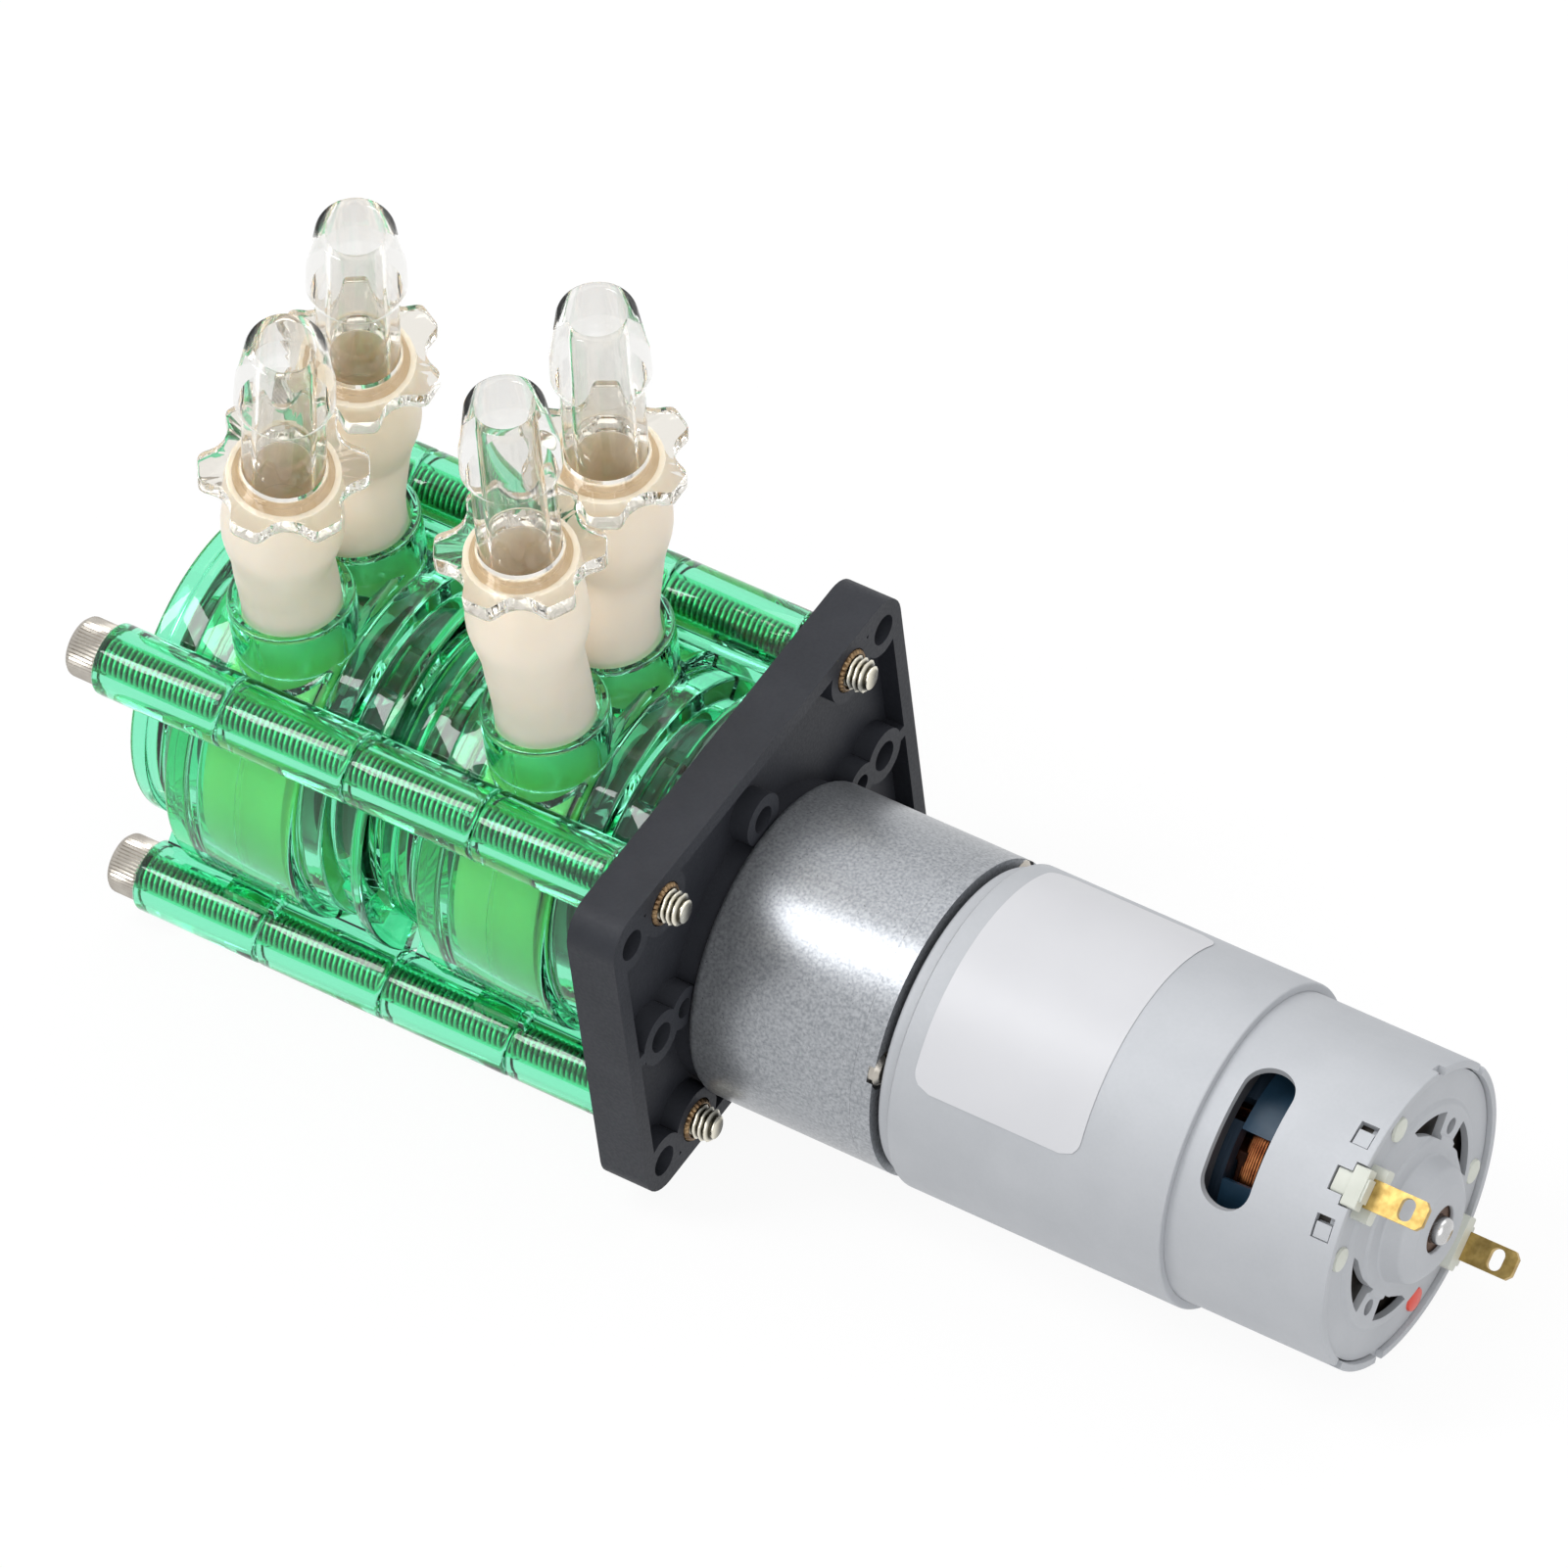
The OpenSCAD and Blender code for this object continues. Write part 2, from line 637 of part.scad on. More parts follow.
module front_shell() {
    difference() {
        union() {
            turned([[-front_len, 0], [-front_len, collar_r], [-front_len + collar_len, collar_r],
                [-front_len + collar_len, neck_r], [-drum_front, neck_r], [-drum_front, drum_r],
                [0, drum_r], [0, 0]]);
            columns_and_webs(-front_len, 0);
            port_collars(-1);
        }
        shell_cuts(-front_len, 0, front_wall_in);
        rod(spigot_r + spigot_gap, -front_len - 1, -front_len + collar_depth);
        pipe(groove_out, groove_in, -drum_front - 1, -drum_front + groove_depth);
        rod(bush_r + seat_fit, -front_len - 1, 1);
        snap_tabs(seat_fit + 0.1);
    }
    if (front_wall_in > front_bush_x) bush_boss_ring(-front_wall_in - eps, -front_bush_x);
}
module rear_shell() {
    wall_x = rear_wall_in;
    difference() {
        union() {
            turned([[0, 0], [0, drum_r], [drum_rear, drum_r], [drum_rear, step_r],
                [drum_rear + step_len, step_r], [drum_rear + step_len, neck_r],
                [rear_len - flange_t, neck_r], [rear_len - flange_t, flange_r],
                [rear_len, flange_r], [rear_len, spigot_r],
                [rear_len + spigot_len, spigot_r], [rear_len + spigot_len, 0]]);
            columns_and_webs(0, rear_len);
            port_collars(1);
            for (k = [0:3])
                ring_part(neck_r - 1, lug_r, lug_angle + 90 * k - lug_span / 2,
                    lug_angle + 90 * k + lug_span / 2,
                    rear_len - flange_t - lug_len, rear_len - flange_t + eps);
        }
        shell_cuts(0, rear_len, wall_x);
        rod(spigot_r - spigot_wall, rear_len - flange_t, rear_len + spigot_len + 1);
        rod(bush_r + seat_fit, -1, rear_len + 1);
    }
    bush_boss_ring(wall_x - bush_len + end_wall, wall_x + eps);
    snap_tabs(0);
}
module bush_boss_ring(x0, x1) pipe(bush_r + bush_boss, bush_r + seat_fit, x0, x1);

// Tabs on the inner side of each column that reach over the seam
module snap_tabs(gap) {
    over = tab_len * 0.77;
    for (c = corners)
        at([c[0] * screw_span / 2, c[1] * (screw_span / 2 - column_r - tab_t / 2 + 0.1)])
            translate([-over - gap, -tab_w / 2 - gap, -tab_t / 2 - gap])
                cube([tab_len + 2 * gap, tab_w + 2 * gap, tab_t + 2 * gap]);
}

module head_bushes() {
    rear_x = rear_wall_in + end_wall;
    color([0.75, 0.6, 0.35]) {
        pipe(bush_r, shaft_bore, -front_bush_x - bush_len, -front_bush_x);
        pipe(bush_r, shaft_bore, rear_x - bush_len, rear_x);
    }
}

// Centre line of one leg of a tube, from its hose end to the start of the track
function lean(e) = unit([tan(e[3]), -tan(e[4]), 1]);
function leg(e) =
    let (
        s = e[1] < 0 ? -1 : 1,
        top = [e[0], e[1], e[2]],
        v = lean(e),
        q = top - (conn_root + 0.5) * v,
        mouth = [0, s * port_y, port_z],
        mid = (tube_inner + tube_outer) / 2,
        t = [0, s * mid * cos(track_start), mid * sin(track_start)],
        into = [0, s * sin(track_start), -cos(track_start)]
    )
    concat(
        [for (d = [0, 3, 6, 9, 11]) top - d * v],
        [for (i = [0:3]) curve(q, q - 5 * v, mouth + [0, 0, 5], mouth, i / 4)],
        [for (i = [0:6]) curve(mouth, mouth - [0, 0, 8], t - 5 * into, t, i / 6)]
    );
function track() =
    let (
        mid = (tube_inner + tube_outer) / 2,
        sweep = 180 + 2 * track_start,
        n = round(sweep / ring_step)
    )
    [for (i = [1:n - 1]) let (a = 180 - track_start + sweep * i / n) [0, mid * cos(a), mid * sin(a)]];
function backwards(list) = [for (i = [len(list) - 1:-1:0]) list[i]];
function route(ends) = concat(leg(ends[0]), track(), backwards(leg(ends[1])));

// Radius of a round tube at the distance d from its hose end
function swell(d) =
    let (
        peak = conn_root - 3.5,
        u = min(1, d / peak),
        w = max(0, min(1, (d - peak) / 7)),
        root = mix(conn_root_r - 0.6, conn_root_r, u * u * (3 - 2 * u))
    )
    mix(root + tube_wall, tube_r, w * w * (3 - 2 * w));

// Distance along a ray from inside a circle to its edge, for a * d^2 + b * d + c = 0
function far_root(a, b, c) = c > 0 ? 0 : a < 1e-6 ? 99 : (-b + sqrt(b * b - 4 * a * c)) / (2 * a);
function near_root(a, b, c) =
    let (disc = b * b - 4 * a * c) a < 1e-6 || disc < 0 || b > 0 ? 99 : (-b - sqrt(disc)) / (2 * a);

// Radius of the pressed tube at p in the direction q across it: the tube fills the room between
// the roller path, the track and its port, up to its own round radius
function pressed(p, n, q, round_r, thin) =
    let (
        c = cos(q), s = sin(q),
        pn = p[1] * n[1] + p[2] * n[2],
        pp = p[1] * p[1] + p[2] * p[2],
        off = p[1] - sign(p[1]) * port_y,
        room = port_r - tube_gap - thin,
        inner = c < 0 ? near_root(c * c, 2 * c * pn, pp - pow(tube_inner + thin, 2)) : 99,
        outer = far_root(c * c, 2 * c * pn, pp - pow(tube_outer - thin, 2)),
        port = p[2] < 8 ? 0
            : far_root(c * c * n[1] * n[1] + s * s, 2 * c * n[1] * off, off * off - room * room),
        side = (track_half - tube_gap - thin) / max(abs(s), 0.01),
        limit = p[2] > port_z - 1 ? 99 : min(inner, max(min(outer, side), port))
    )
    min(round_r, limit);

module pump_tube(ends) {
    path = route(ends);
    last = len(path) - 1;
    total = [for (e = [0, 1]) let (v = lean(ends[e])) e == 0 ? -v : v];
    rings = [for (i = [0:last])
        let (
            t = i == 0 ? total[0] : i == last ? total[1] : unit(path[i + 1] - path[i - 1]),
            b = unit([1, 0, 0] - t[0] * t),
            n = cross(t, b),
            p = path[i],
            end = p[1] < 0 ? ends[0] : ends[1],
            r = p[2] < port_z ? tube_r : swell(norm(p - [end[0], end[1], end[2]]))
        )
        [p, n, b, r]];
    open_r = 1 / cos(180 / tube_sides);
    skin = [for (thin = [0, tube_wall], g = rings, k = [0:tube_sides - 1])
        let (
            q = 360 * k / tube_sides,
            r = pressed(g[0], g[1], q, thin == 0 ? g[3] : (g[3] - thin) * open_r, thin)
        )
        g[0] + r * (cos(q) * g[1] + sin(q) * g[2])];
    half = (last + 1) * tube_sides;
    walls = [for (s = [0, 1], i = [0:last - 1], k = [0:tube_sides - 1])
        let (
            j = (k + 1) % tube_sides,
            a = s * half + i * tube_sides,
            f = [a + k, a + j, a + tube_sides + j, a + tube_sides + k]
        )
        for (g = [[f[0], f[1], f[2]], [f[0], f[2], f[3]]]) s == 0 ? g : [g[2], g[1], g[0]]];
    lids = [for (e = [0, 1], k = [0:tube_sides - 1])
        let (
            j = (k + 1) % tube_sides,
            a = e * last * tube_sides,
            f = [a + k, half + a + k, half + a + j, a + j]
        )
        for (g = [[f[0], f[1], f[2]], [f[0], f[2], f[3]]]) e == 0 ? g : [g[2], g[1], g[0]]];
    color([0.93, 0.88, 0.78]) polyhedron(points = skin, faces = concat(walls, lids));
}

// Connector on one end of a tube, turned so that a lobe of the left one meets a scallop of the right
module connector(ends, side) {
    e = ends[side];
    spin = atan2(ends[1][1] - ends[0][1], ends[1][0] - ends[0][0]) - 90 + 30 * side;
    v = lean(e);
    top = conn_flange_t + conn_len;
    barb_z = top - conn_cone - conn_land;
    stem = conn_root_r - 0.6;
    hex_r = conn_flange_r / cos(30);
    bite = (hex_r - conn_lobe) / 2;
    color([0.93, 0.93, 0.95, 0.5])
    translate([e[0], e[1], e[2]]) rotate(acos(v[2]), cross([0, 0, 1], v)) rotate([0, 0, spin]) {
        rotate_extrude() polygon([
            [conn_bore_r, -conn_root], [conn_root_r - 1.1, -conn_root],
            [conn_root_r - 0.1, 3.5 - conn_root], [stem - 0.1, 4.3 - conn_root],
            [stem - 0.1, eps], [conn_stem_r, eps], [conn_stem_r, barb_z - 0.9],
            [conn_barb_r, barb_z], [conn_barb_r - 0.15, top - conn_cone],
            [conn_lip_r, top - 0.3], [conn_lip_r - 0.3, top], [conn_bore_r + 0.3, top],
            [conn_bore_r, top - 0.3]]);
        difference() {
            linear_extrude(conn_flange_t) difference() {
                circle(r = hex_r, $fn = 6);
                for (a = [0:60:300]) rotate(a) translate([hex_r, 0]) circle(bite);
            }
            translate([0, 0, -1]) cylinder(r = conn_bore_r + 0.2, h = conn_flange_t + 2);
        }
    }
}

// Quarter round of a turned edge, from the front face back to the full radius
function front_round(x, r, c, n) =
    [for (i = [0:n]) [x + c * (1 - cos(90 * i / n)), r - c + c * sin(90 * i / n)]];

module gearbox_screw(gap, beyond) {
    r = gearbox_screw_d / 2;
    head_r = r * 1.55;
    turned([[-plate_t - beyond, 0], [-plate_t - beyond, head_r + gap], [-plate_t, head_r + gap],
        [-plate_t + head_r - r, r + gap], [gearbox_front + 2, r + gap], [gearbox_front + 2, 0]]);
}
module gear_pins_at(r, x0, x1) {
    at(idler_2) rod(r, x0, x1);
    at(idler_1) rod(r, x0, x1);
}
module gearbox_housing() {
    r = gearbox_d / 2;
    color([0.55, 0.57, 0.6])
    difference() {
        union() {
            on_motor_axis() difference() {
                turned(concat([[0, 0]], front_round(0, r, gearbox_round, 6), [[gearbox_len, r], [gearbox_len, 0]]));
                rod(r - gearbox_wall, gearbox_front, gearbox_len + 1);
            }
            rod(nose_r, -nose_len, gearbox_front + 1);
            gear_pins_at(gear_pin_r + gearbox_boss, gearbox_front - eps, gearbox_front + 1.5);
            on_motor_axis() {
                around(gearbox_screw_angles)
                    at([gearbox_pcd / 2, 0])
                        rod(gearbox_screw_d / 2 + gearbox_boss, gearbox_front - eps, gearbox_front + 2);
                intersection() {
                    rod(r - gearbox_wall / 2, gearbox_front, gearbox_len);
                    around(cover_screw_angles)
                        at([cover_screw_radius, 0])
                            rod(cover_screw_r + 0.75, gearbox_len - cover_screw_len - 1, gearbox_len - 0.1);
                }
            }
        }
        rod(output_bush_r + seat_fit, -nose_len - 1, gearbox_front + 2);
        gear_pins_at(gear_pin_r + seat_fit, 1, gearbox_front + 2);
        on_motor_axis() {
            around(gearbox_screw_angles) at([gearbox_pcd / 2, 0]) gearbox_screw(seat_fit, 1);
            around(cover_screw_angles) at([cover_screw_radius, 0])
                rod(cover_screw_r + seat_fit, gearbox_len - cover_screw_len, gearbox_len + 1);
        }
    }
}
module gearbox_cover() {
    r = gearbox_d / 2;
    color([0.5, 0.52, 0.55])
    difference() {
        on_motor_axis() rod(r, cover_x, cover_x + cover_t);
        on_motor_axis() rod(module_fine * small_teeth / 2 + 1, cover_x - 1, cover_x + cover_t + 1);
        rod(output_bush_r + seat_fit, cover_x - 1, cover_x + cover_t - 0.5);
        gear_pins_at(gear_pin_r + seat_fit, cover_x - 1, cover_x + cover_t - 0.7);
        on_motor_axis() around(cover_screw_angles) at([cover_screw_radius, 0]) {
            rod(cover_screw_r + seat_fit, cover_x - 1, cover_x + cover_t + 1);
            rod(cover_head_r + 0.3, cover_head_x, cover_x + cover_t + 1);
        }
    }
}
module cover_screws() {
    x = cover_head_x;
    edge = cover_head_r / 4;
    slot = cover_head_r * 0.3;
    color("silver")
    on_motor_axis() around(cover_screw_angles) at([cover_screw_radius, 0]) difference() {
        union() {
            rod(cover_screw_r, gearbox_len - cover_screw_len, x + eps);
            turned([[x, 0], [x, cover_head_r], [x + cover_head_h - edge, cover_head_r],
                [x + cover_head_h, cover_head_r - edge], [x + cover_head_h, 0]]);
        }
        translate([x + cover_head_h / 2, -slot / 2, -cover_head_d])
            cube([cover_head_h, slot, 2 * cover_head_d]);
    }
}
module gearbox_screws() {
    color("silver")
    on_motor_axis() around(gearbox_screw_angles) at([gearbox_pcd / 2, 0]) difference() {
        gearbox_screw(0, 0);
        along_x(-plate_t - 1) cylinder(r = 1.15, h = 2.2, $fn = 6);
    }
}
module output_bushes() {
    color([0.75, 0.6, 0.35]) {
        pipe(output_bush_r, shaft_bore, -nose_len, gearbox_front + 1);
        pipe(output_bush_r, shaft_bore, cover_x, cover_x + cover_t - 0.5);
    }
}
module gear_pins() {
    color("silver") gear_pins_at(gear_pin_r, 1, cover_x + cover_t - 0.7);
}

// Shaft section with a flat, between two places along X
module d_rod(r, flat, x0, x1) {
    along_x(x0) linear_extrude(x1 - x0) difference() {
        circle(r);
        translate([-2 * r, r - flat]) square(4 * r);
    }
}
module pump_shaft(x0, round_0, round_1, x1) {
    color("silver") {
        if (round_0 > x0) d_rod(shaft_r, shaft_flat, x0, round_0 + eps);
        rod(shaft_r, round_0, round_1);
        if (x1 > round_1) d_rod(shaft_r, shaft_flat, round_1 - eps, x1);
    }
}
module output_gear() {
    x = output_gear_x;
    hub = shaft_r + 2;
    color([0.7, 0.68, 0.6])
    difference() {
        union() {
            along_x(x) linear_extrude(output_face) gear_outline_turned(output_teeth, module_coarse, idler_angle);
            rod(hub, x - 1, x + output_face + 1.5);
        }
        for (s = [x - 1, x + output_face - 0.8])
            pipe(module_coarse * output_teeth / 2 - 1.6, hub, s, s + 1.8);
        rod(shaft_r + seat_fit, x - 2, x + output_face + 2);
    }
}
module gear_outline_turned(teeth, m, turn) rotate(turn) polygon(gear_outline(teeth, m));

module compound_gear(m_small, small_x, small_len, small_turn, large_x, large_turn) {
    color([0.8, 0.75, 0.6])
    difference() {
        union() {
            along_x(small_x) linear_extrude(small_len) gear_outline_turned(small_teeth, m_small, small_turn);
            along_x(large_x) linear_extrude(large_face)
                gear_outline_turned(large_teeth, module_fine, large_turn);
        }
        rod(gear_pin_r + run_fit, small_x - 1, large_x + large_face + 1);
    }
}
module second_idler() {
    at(idler_2) compound_gear(module_coarse, output_gear_x - tooth_over, idler_2_x - output_gear_x + tooth_over,
        idler_angle + 180 + gap_turn(small_teeth), idler_2_x, facing(idler_2, idler_1));
}
module first_idler() {
    at(idler_1) compound_gear(module_fine, idler_2_x - tooth_over, idler_1_x - idler_2_x + tooth_over,
        facing(idler_1, idler_2) + gap_turn(small_teeth), idler_1_x, facing(idler_1, motor_c));
}
module motor_pinion() {
    color("goldenrod")
    on_motor_axis() difference() {
        along_x(idler_1_x - tooth_over) linear_extrude(large_face + 2 * tooth_over)
            gear_outline_turned(small_teeth, module_fine, facing(motor_c, idler_1) + gap_turn(small_teeth));
        rod(motor_shaft_d / 2 + seat_fit, idler_1_x - 2, idler_1_x + large_face + 2);
    }
}

module rotor_disc(side) {
    x0 = side < 0 ? -disc_out : disc_in;
    hub_0 = side < 0 ? -disc_out : hub_gap;
    hub_1 = side < 0 ? -hub_gap : disc_out;
    color([0.2, 0.22, 0.22])
    difference() {
        union() {
            rod(disc_r, x0, x0 + disc_t);
            rod(hub_r, hub_0, hub_1);
        }
        d_rod(shaft_r + seat_fit, shaft_flat, hub_0 - 1, hub_1 + 1);
        around(roller_angles) at([orbit_r, 0]) rod(pin_r + seat_fit, x0 - 1, x0 + disc_t + 1);
        around([for (a = roller_angles) a + 60]) at([orbit_r, 0]) rod(2.6, x0 - 1, x0 + disc_t + 1);
    }
}
module rotor_pins() {
    color("silver") around(roller_angles) at([orbit_r, 0]) rod(pin_r, -disc_out, disc_out);
}
module roller(a) {
    c = 0.6;
    color([0.9, 0.9, 0.88])
    around([a]) at([orbit_r, 0]) difference() {
        turned([[-roller_half, 0], [-roller_half, roller_r - c], [-roller_half + c, roller_r],
            [roller_half - c, roller_r], [roller_half, roller_r - c], [roller_half, 0]]);
        rod(pin_r + run_fit, -roller_half - 1, roller_half + 1);
    }
}

// Slot with round ends through a cylinder wall, across the angles a0 to a1
module round_slot(r_in, r_out, a0, a1, x, w) {
    nose = w / 2 / r_out * 180 / PI;
    half = w / 2 * 0.97;
    ring_part(r_in, r_out, a0 + nose, a1 - nose, x - half, x + half);
    for (a = [a0 + nose, a1 - nose])
        rotate([a - 90, 0, 0]) translate([x, 0, r_in]) cylinder(r = w / 2, h = r_out - r_in);
}
// Cut through the can's wall round a middle angle
module wall_cut(mid, span, x0, x1) ring_part(can_in - 1, can_r + 1, mid - span / 2, mid + span / 2, x0, x1);
module motor_can() {
    color([0.78, 0.79, 0.81])
    on_motor_axis() difference() {
        union() {
            difference() {
                turned(concat([[motor_x, 0]], front_round(motor_x, can_r, can_round, 4),
                    [[can_end, can_r], [can_end, 0]]));
                rod(can_in, motor_x + can_wall, can_end + 1);
            }
            rod(motor_nose_r, cover_x + cover_t, motor_x + motor_nose_len);
        }
        rod(motor_bush_r + seat_fit, cover_x + cover_t - 1, motor_x + motor_nose_len + 1);
        for (h = [0, 180]) rotate([h, 0, 0]) {
            round_slot(can_in - 1, can_r + 1, slot_from, slot_to, slot_x, slot_w);
            for (a = [-1, 1]) wall_cut(lug_angles[0] - 0.5 + a * 16.7, 7.5, end_x - end_t - 0.2, end_x);
            wall_cut(lug_angles[0], stem_angle, can_end - notch_depth, can_end + 1);
            wall_cut(208, 6, can_end - 0.9, can_end + 1);
        }
    }
}
module flux_ring() {
    r = can_r + seat_fit;
    color([0.8, 0.81, 0.83])
    on_motor_axis() difference() {
        pipe(r + flux_t, r, motor_x + shoulder_len, motor_x + shoulder_len + flux_len);
        translate([motor_x, -flux_t / 4, -2 * r]) cube([shoulder_len + flux_len + 1, flux_t / 2, 2 * r]);
    }
}
module motor_end_plate() {
    step = 0.5;
    rim_r = rivet_radius - rivet_r + 0.3;
    color([0.7, 0.71, 0.73])
    on_motor_axis() difference() {
        turned([[end_x - end_t, 0], [end_x - end_t, can_in - seat_fit], [end_x, can_in - seat_fit],
            [end_x, rim_r], [end_x + step, rim_r - step], [end_x + step, end_boss_r],
            [end_x + end_boss_len - step, end_boss_r - 1.6], [end_x + end_boss_len, end_boss_r - 2.2],
            [end_x + end_boss_len, 0]]);
        rod(motor_bush_r + seat_fit, end_x - end_t - 1, end_x + end_boss_len - 0.7);
        rod(motor_bush_r * 0.75, end_x, end_x + end_boss_len + 1);
        for (b = brush_angles) {
            for (a = [-1, 1])
                ring_part(vent_in, vent_out, b + a * 39 - vent_span / 2, b + a * 39 + vent_span / 2,
                    end_x - end_t - 1, end_x + 2);
            rotate([b, 0, 0]) at([(vent_in + vent_out) / 2 + 0.4, 0]) rod(1, end_x - end_t - 1, end_x + 2);
        }
        around(rivet_angles) at([rivet_radius, 0]) rod(rivet_r + seat_fit, end_x - end_t - 1, end_x + 1);
        insulator_blocks(seat_fit);
    }
}
module insulator_blocks(gap) {
    stem_x = can_end - notch_depth + 0.1;
    around(lug_angles) {
        translate([end_x - end_t - 1, lug_radius - lug_t / 2 - insulator_t - gap, -insulator_w / 2 - gap])
            cube([end_t + 1.9, insulator_t + 2 * gap, insulator_w + 2 * gap]);
        translate([stem_x - gap, lug_radius - 1, -insulator_stem / 2 - gap])
            cube([can_end + insulator_proud - stem_x + gap, can_r - lug_radius + 0.9, insulator_stem + 2 * gap]);
    }
}
module terminal_insulators() {
    color([0.92, 0.92, 0.88])
    on_motor_axis() difference() {
        insulator_blocks(0);
        lug_blanks(seat_fit);
    }
}
module lug_blanks(gap) {
    around(lug_angles) {
        translate([end_x - 6, lug_radius - lug_t / 2 - gap, -lug_w / 3 - gap])
            cube([lug_stand + 6, lug_t + 2 * gap, lug_w * 2 / 3 + 2 * gap]);
    }
}
module terminals() {
    c = 0.7;
    color([0.85, 0.68, 0.3])
    on_motor_axis() {
        lug_blanks(0);
        around(lug_angles) translate([end_x + lug_stand, lug_radius + lug_t / 2, 0])
            rotate([90, 0, 0]) linear_extrude(lug_t) difference() {
                polygon([[0, -lug_w / 2], [lug_len_out - c, -lug_w / 2], [lug_len_out, -lug_w / 2 + c],
                    [lug_len_out, lug_w / 2 - c], [lug_len_out - c, lug_w / 2], [0, lug_w / 2]]);
                translate([lug_len_out - 2.2, 0]) circle(lug_hole_d / 2);
            }
    }
}
module end_plate_rivets() {
    color([0.85, 0.85, 0.8])
    on_motor_axis() around(rivet_angles) at([rivet_radius, 0])
        turned([[end_x - end_t - 1, 0], [end_x - end_t - 1, rivet_r], [end_x + 0.1, rivet_r],
            [end_x + 0.4, rivet_r - 0.4], [end_x + 0.4, 0]]);
}
module magnets() {
    color([0.3, 0.3, 0.32])
    on_motor_axis() for (h = [0, 180])
        ring_part(can_in - magnet_t, can_in - seat_fit, h + 90 - magnet_span / 2, h + 90 + magnet_span / 2,
            core_x - 3, magnet_end);
}
module brush_holders() {
    box_w = brush_w + 2 * holder_wall;
    color([0.75, 0.72, 0.6])
    on_motor_axis() difference() {
        union() {
            pipe(can_in - 0.2, comm_r + 2.5, holder_x, end_x - end_t);
            around(brush_angles) translate([brush_x - holder_wall, comm_r + 1.5, -box_w / 2])
                cube([holder_x - brush_x + holder_wall + 0.5, brush_len + 0.5, box_w]);
        }
        around(brush_angles) translate([brush_x - 0.1, comm_r, -brush_w / 2 - 0.1])
            cube([brush_t + 0.2, brush_len + 5, brush_w + 0.2]);
        around(rivet_angles) at([rivet_radius, 0]) rod(rivet_r + seat_fit, holder_x - 1, end_x);
        insulator_blocks(seat_fit);
        lug_blanks(seat_fit);
    }
}
module brushes() {
    color([0.2, 0.2, 0.2])
    on_motor_axis() around(brush_angles)
        translate([brush_x, comm_r + 0.1, -brush_w / 2]) cube([brush_t, brush_len, brush_w]);
}
module motor_bushes() {
    color([0.75, 0.6, 0.35])
    on_motor_axis() {
        pipe(motor_bush_r, motor_shaft_d / 2 + run_fit, cover_x + cover_t + 0.2, motor_x + motor_nose_len);
        pipe(motor_bush_r, motor_shaft_d / 2 + run_fit, end_x - end_t, end_x + end_boss_len - 0.8);
    }
}
module motor_shaft() {
    color("silver") on_motor_axis() rod(motor_shaft_d / 2, idler_1_x - tooth_over, end_x + end_boss_len + 1.5);
}
module armature_core() {
    shoe = 1.8;
    color([0.45, 0.45, 0.48])
    on_motor_axis() difference() {
        union() {
            rod(core_hub, core_x - 0.2, core_x + core_len + 0.2);
            around(pole_angles) {
                translate([core_x + 0.1, core_hub - 1.5, -arm_w / 2])
                    cube([core_len - 0.2, core_r - shoe / 2 - core_hub + 1.5, arm_w]);
                ring_part(core_r - shoe, core_r, -30, 30, core_x, core_x + core_len);
            }
        }
        rod(motor_shaft_d / 2 + seat_fit, core_x - 1, core_x + core_len + 1);
    }
}
module armature_windings() {
    slot = arm_w + 2 * seat_fit;
    coil_w = arm_w + 2.4;
    r_in = core_hub + 1;
    r_out = core_r - 2.6;
    color([0.72, 0.4, 0.2])
    on_motor_axis() around(pole_angles) difference() {
        translate([core_x - winding_over, r_in, -coil_w / 2])
            cube([core_len + 2 * winding_over, r_out - r_in, coil_w]);
        translate([core_x - seat_fit, r_in - 1, -slot / 2]) cube([core_len + 2 * seat_fit, core_r, slot]);
    }
}
module commutator() {
    color([0.75, 0.45, 0.25])
    on_motor_axis() difference() {
        union() {
            rod(comm_r, comm_x, comm_x + comm_len);
            rod(comm_r + 2, comm_x - 1, comm_x);
            rod(3, core_x + core_len + 0.2, comm_x);
        }
        rod(motor_shaft_d / 2 + seat_fit, core_x, comm_x + comm_len + 1);
        around(pole_angles) translate([comm_x + 1, comm_r - 0.8, -0.2]) cube([comm_len, 2, 0.4]);
    }
}

module head_at(x) translate([x, 0, 0]) children();
module green() color([0.1, 0.7, 0.3, 0.6]) children();

mounting_plate();
plate_inserts();
head_screws();
head_at(seam_1) green() front_shell();  // head_1_front_shell
head_at(seam_1) green() rear_shell();  // head_1_rear_shell
head_at(seam_2) green() front_shell();  // head_2_front_shell
head_at(seam_2) green() rear_shell();  // head_2_rear_shell
head_at(seam_1) head_bushes();  // head_1_bushes
head_at(seam_2) head_bushes();  // head_2_bushes
head_at(seam_1) pump_tube(ends_1);  // tube_1
head_at(seam_2) pump_tube(ends_2);  // tube_2
head_at(seam_1) connector(ends_1, 0);  // connector_1_left
head_at(seam_1) connector(ends_1, 1);  // connector_1_right
head_at(seam_2) connector(ends_2, 0);  // connector_2_left
head_at(seam_2) connector(ends_2, 1);  // connector_2_right
gearbox_housing();
gearbox_cover();
gearbox_screws();
cover_screws();
output_bushes();
gear_pins();
motor_can();
flux_ring();
motor_end_plate();
motor_bushes();
magnets();
brush_holders();
brushes();
terminals();
terminal_insulators();
end_plate_rivets();
pump_shaft(seam_1 + 1.5, seam_1 + disc_out + hub_gap, cover_x + cover_t - 0.8, 0);  // output_shaft
output_gear();
pump_shaft(seam_2 + 1.5, seam_2 + disc_out + hub_gap, seam_1 - disc_out - hub_gap, seam_1 - 1.5);  // link_shaft
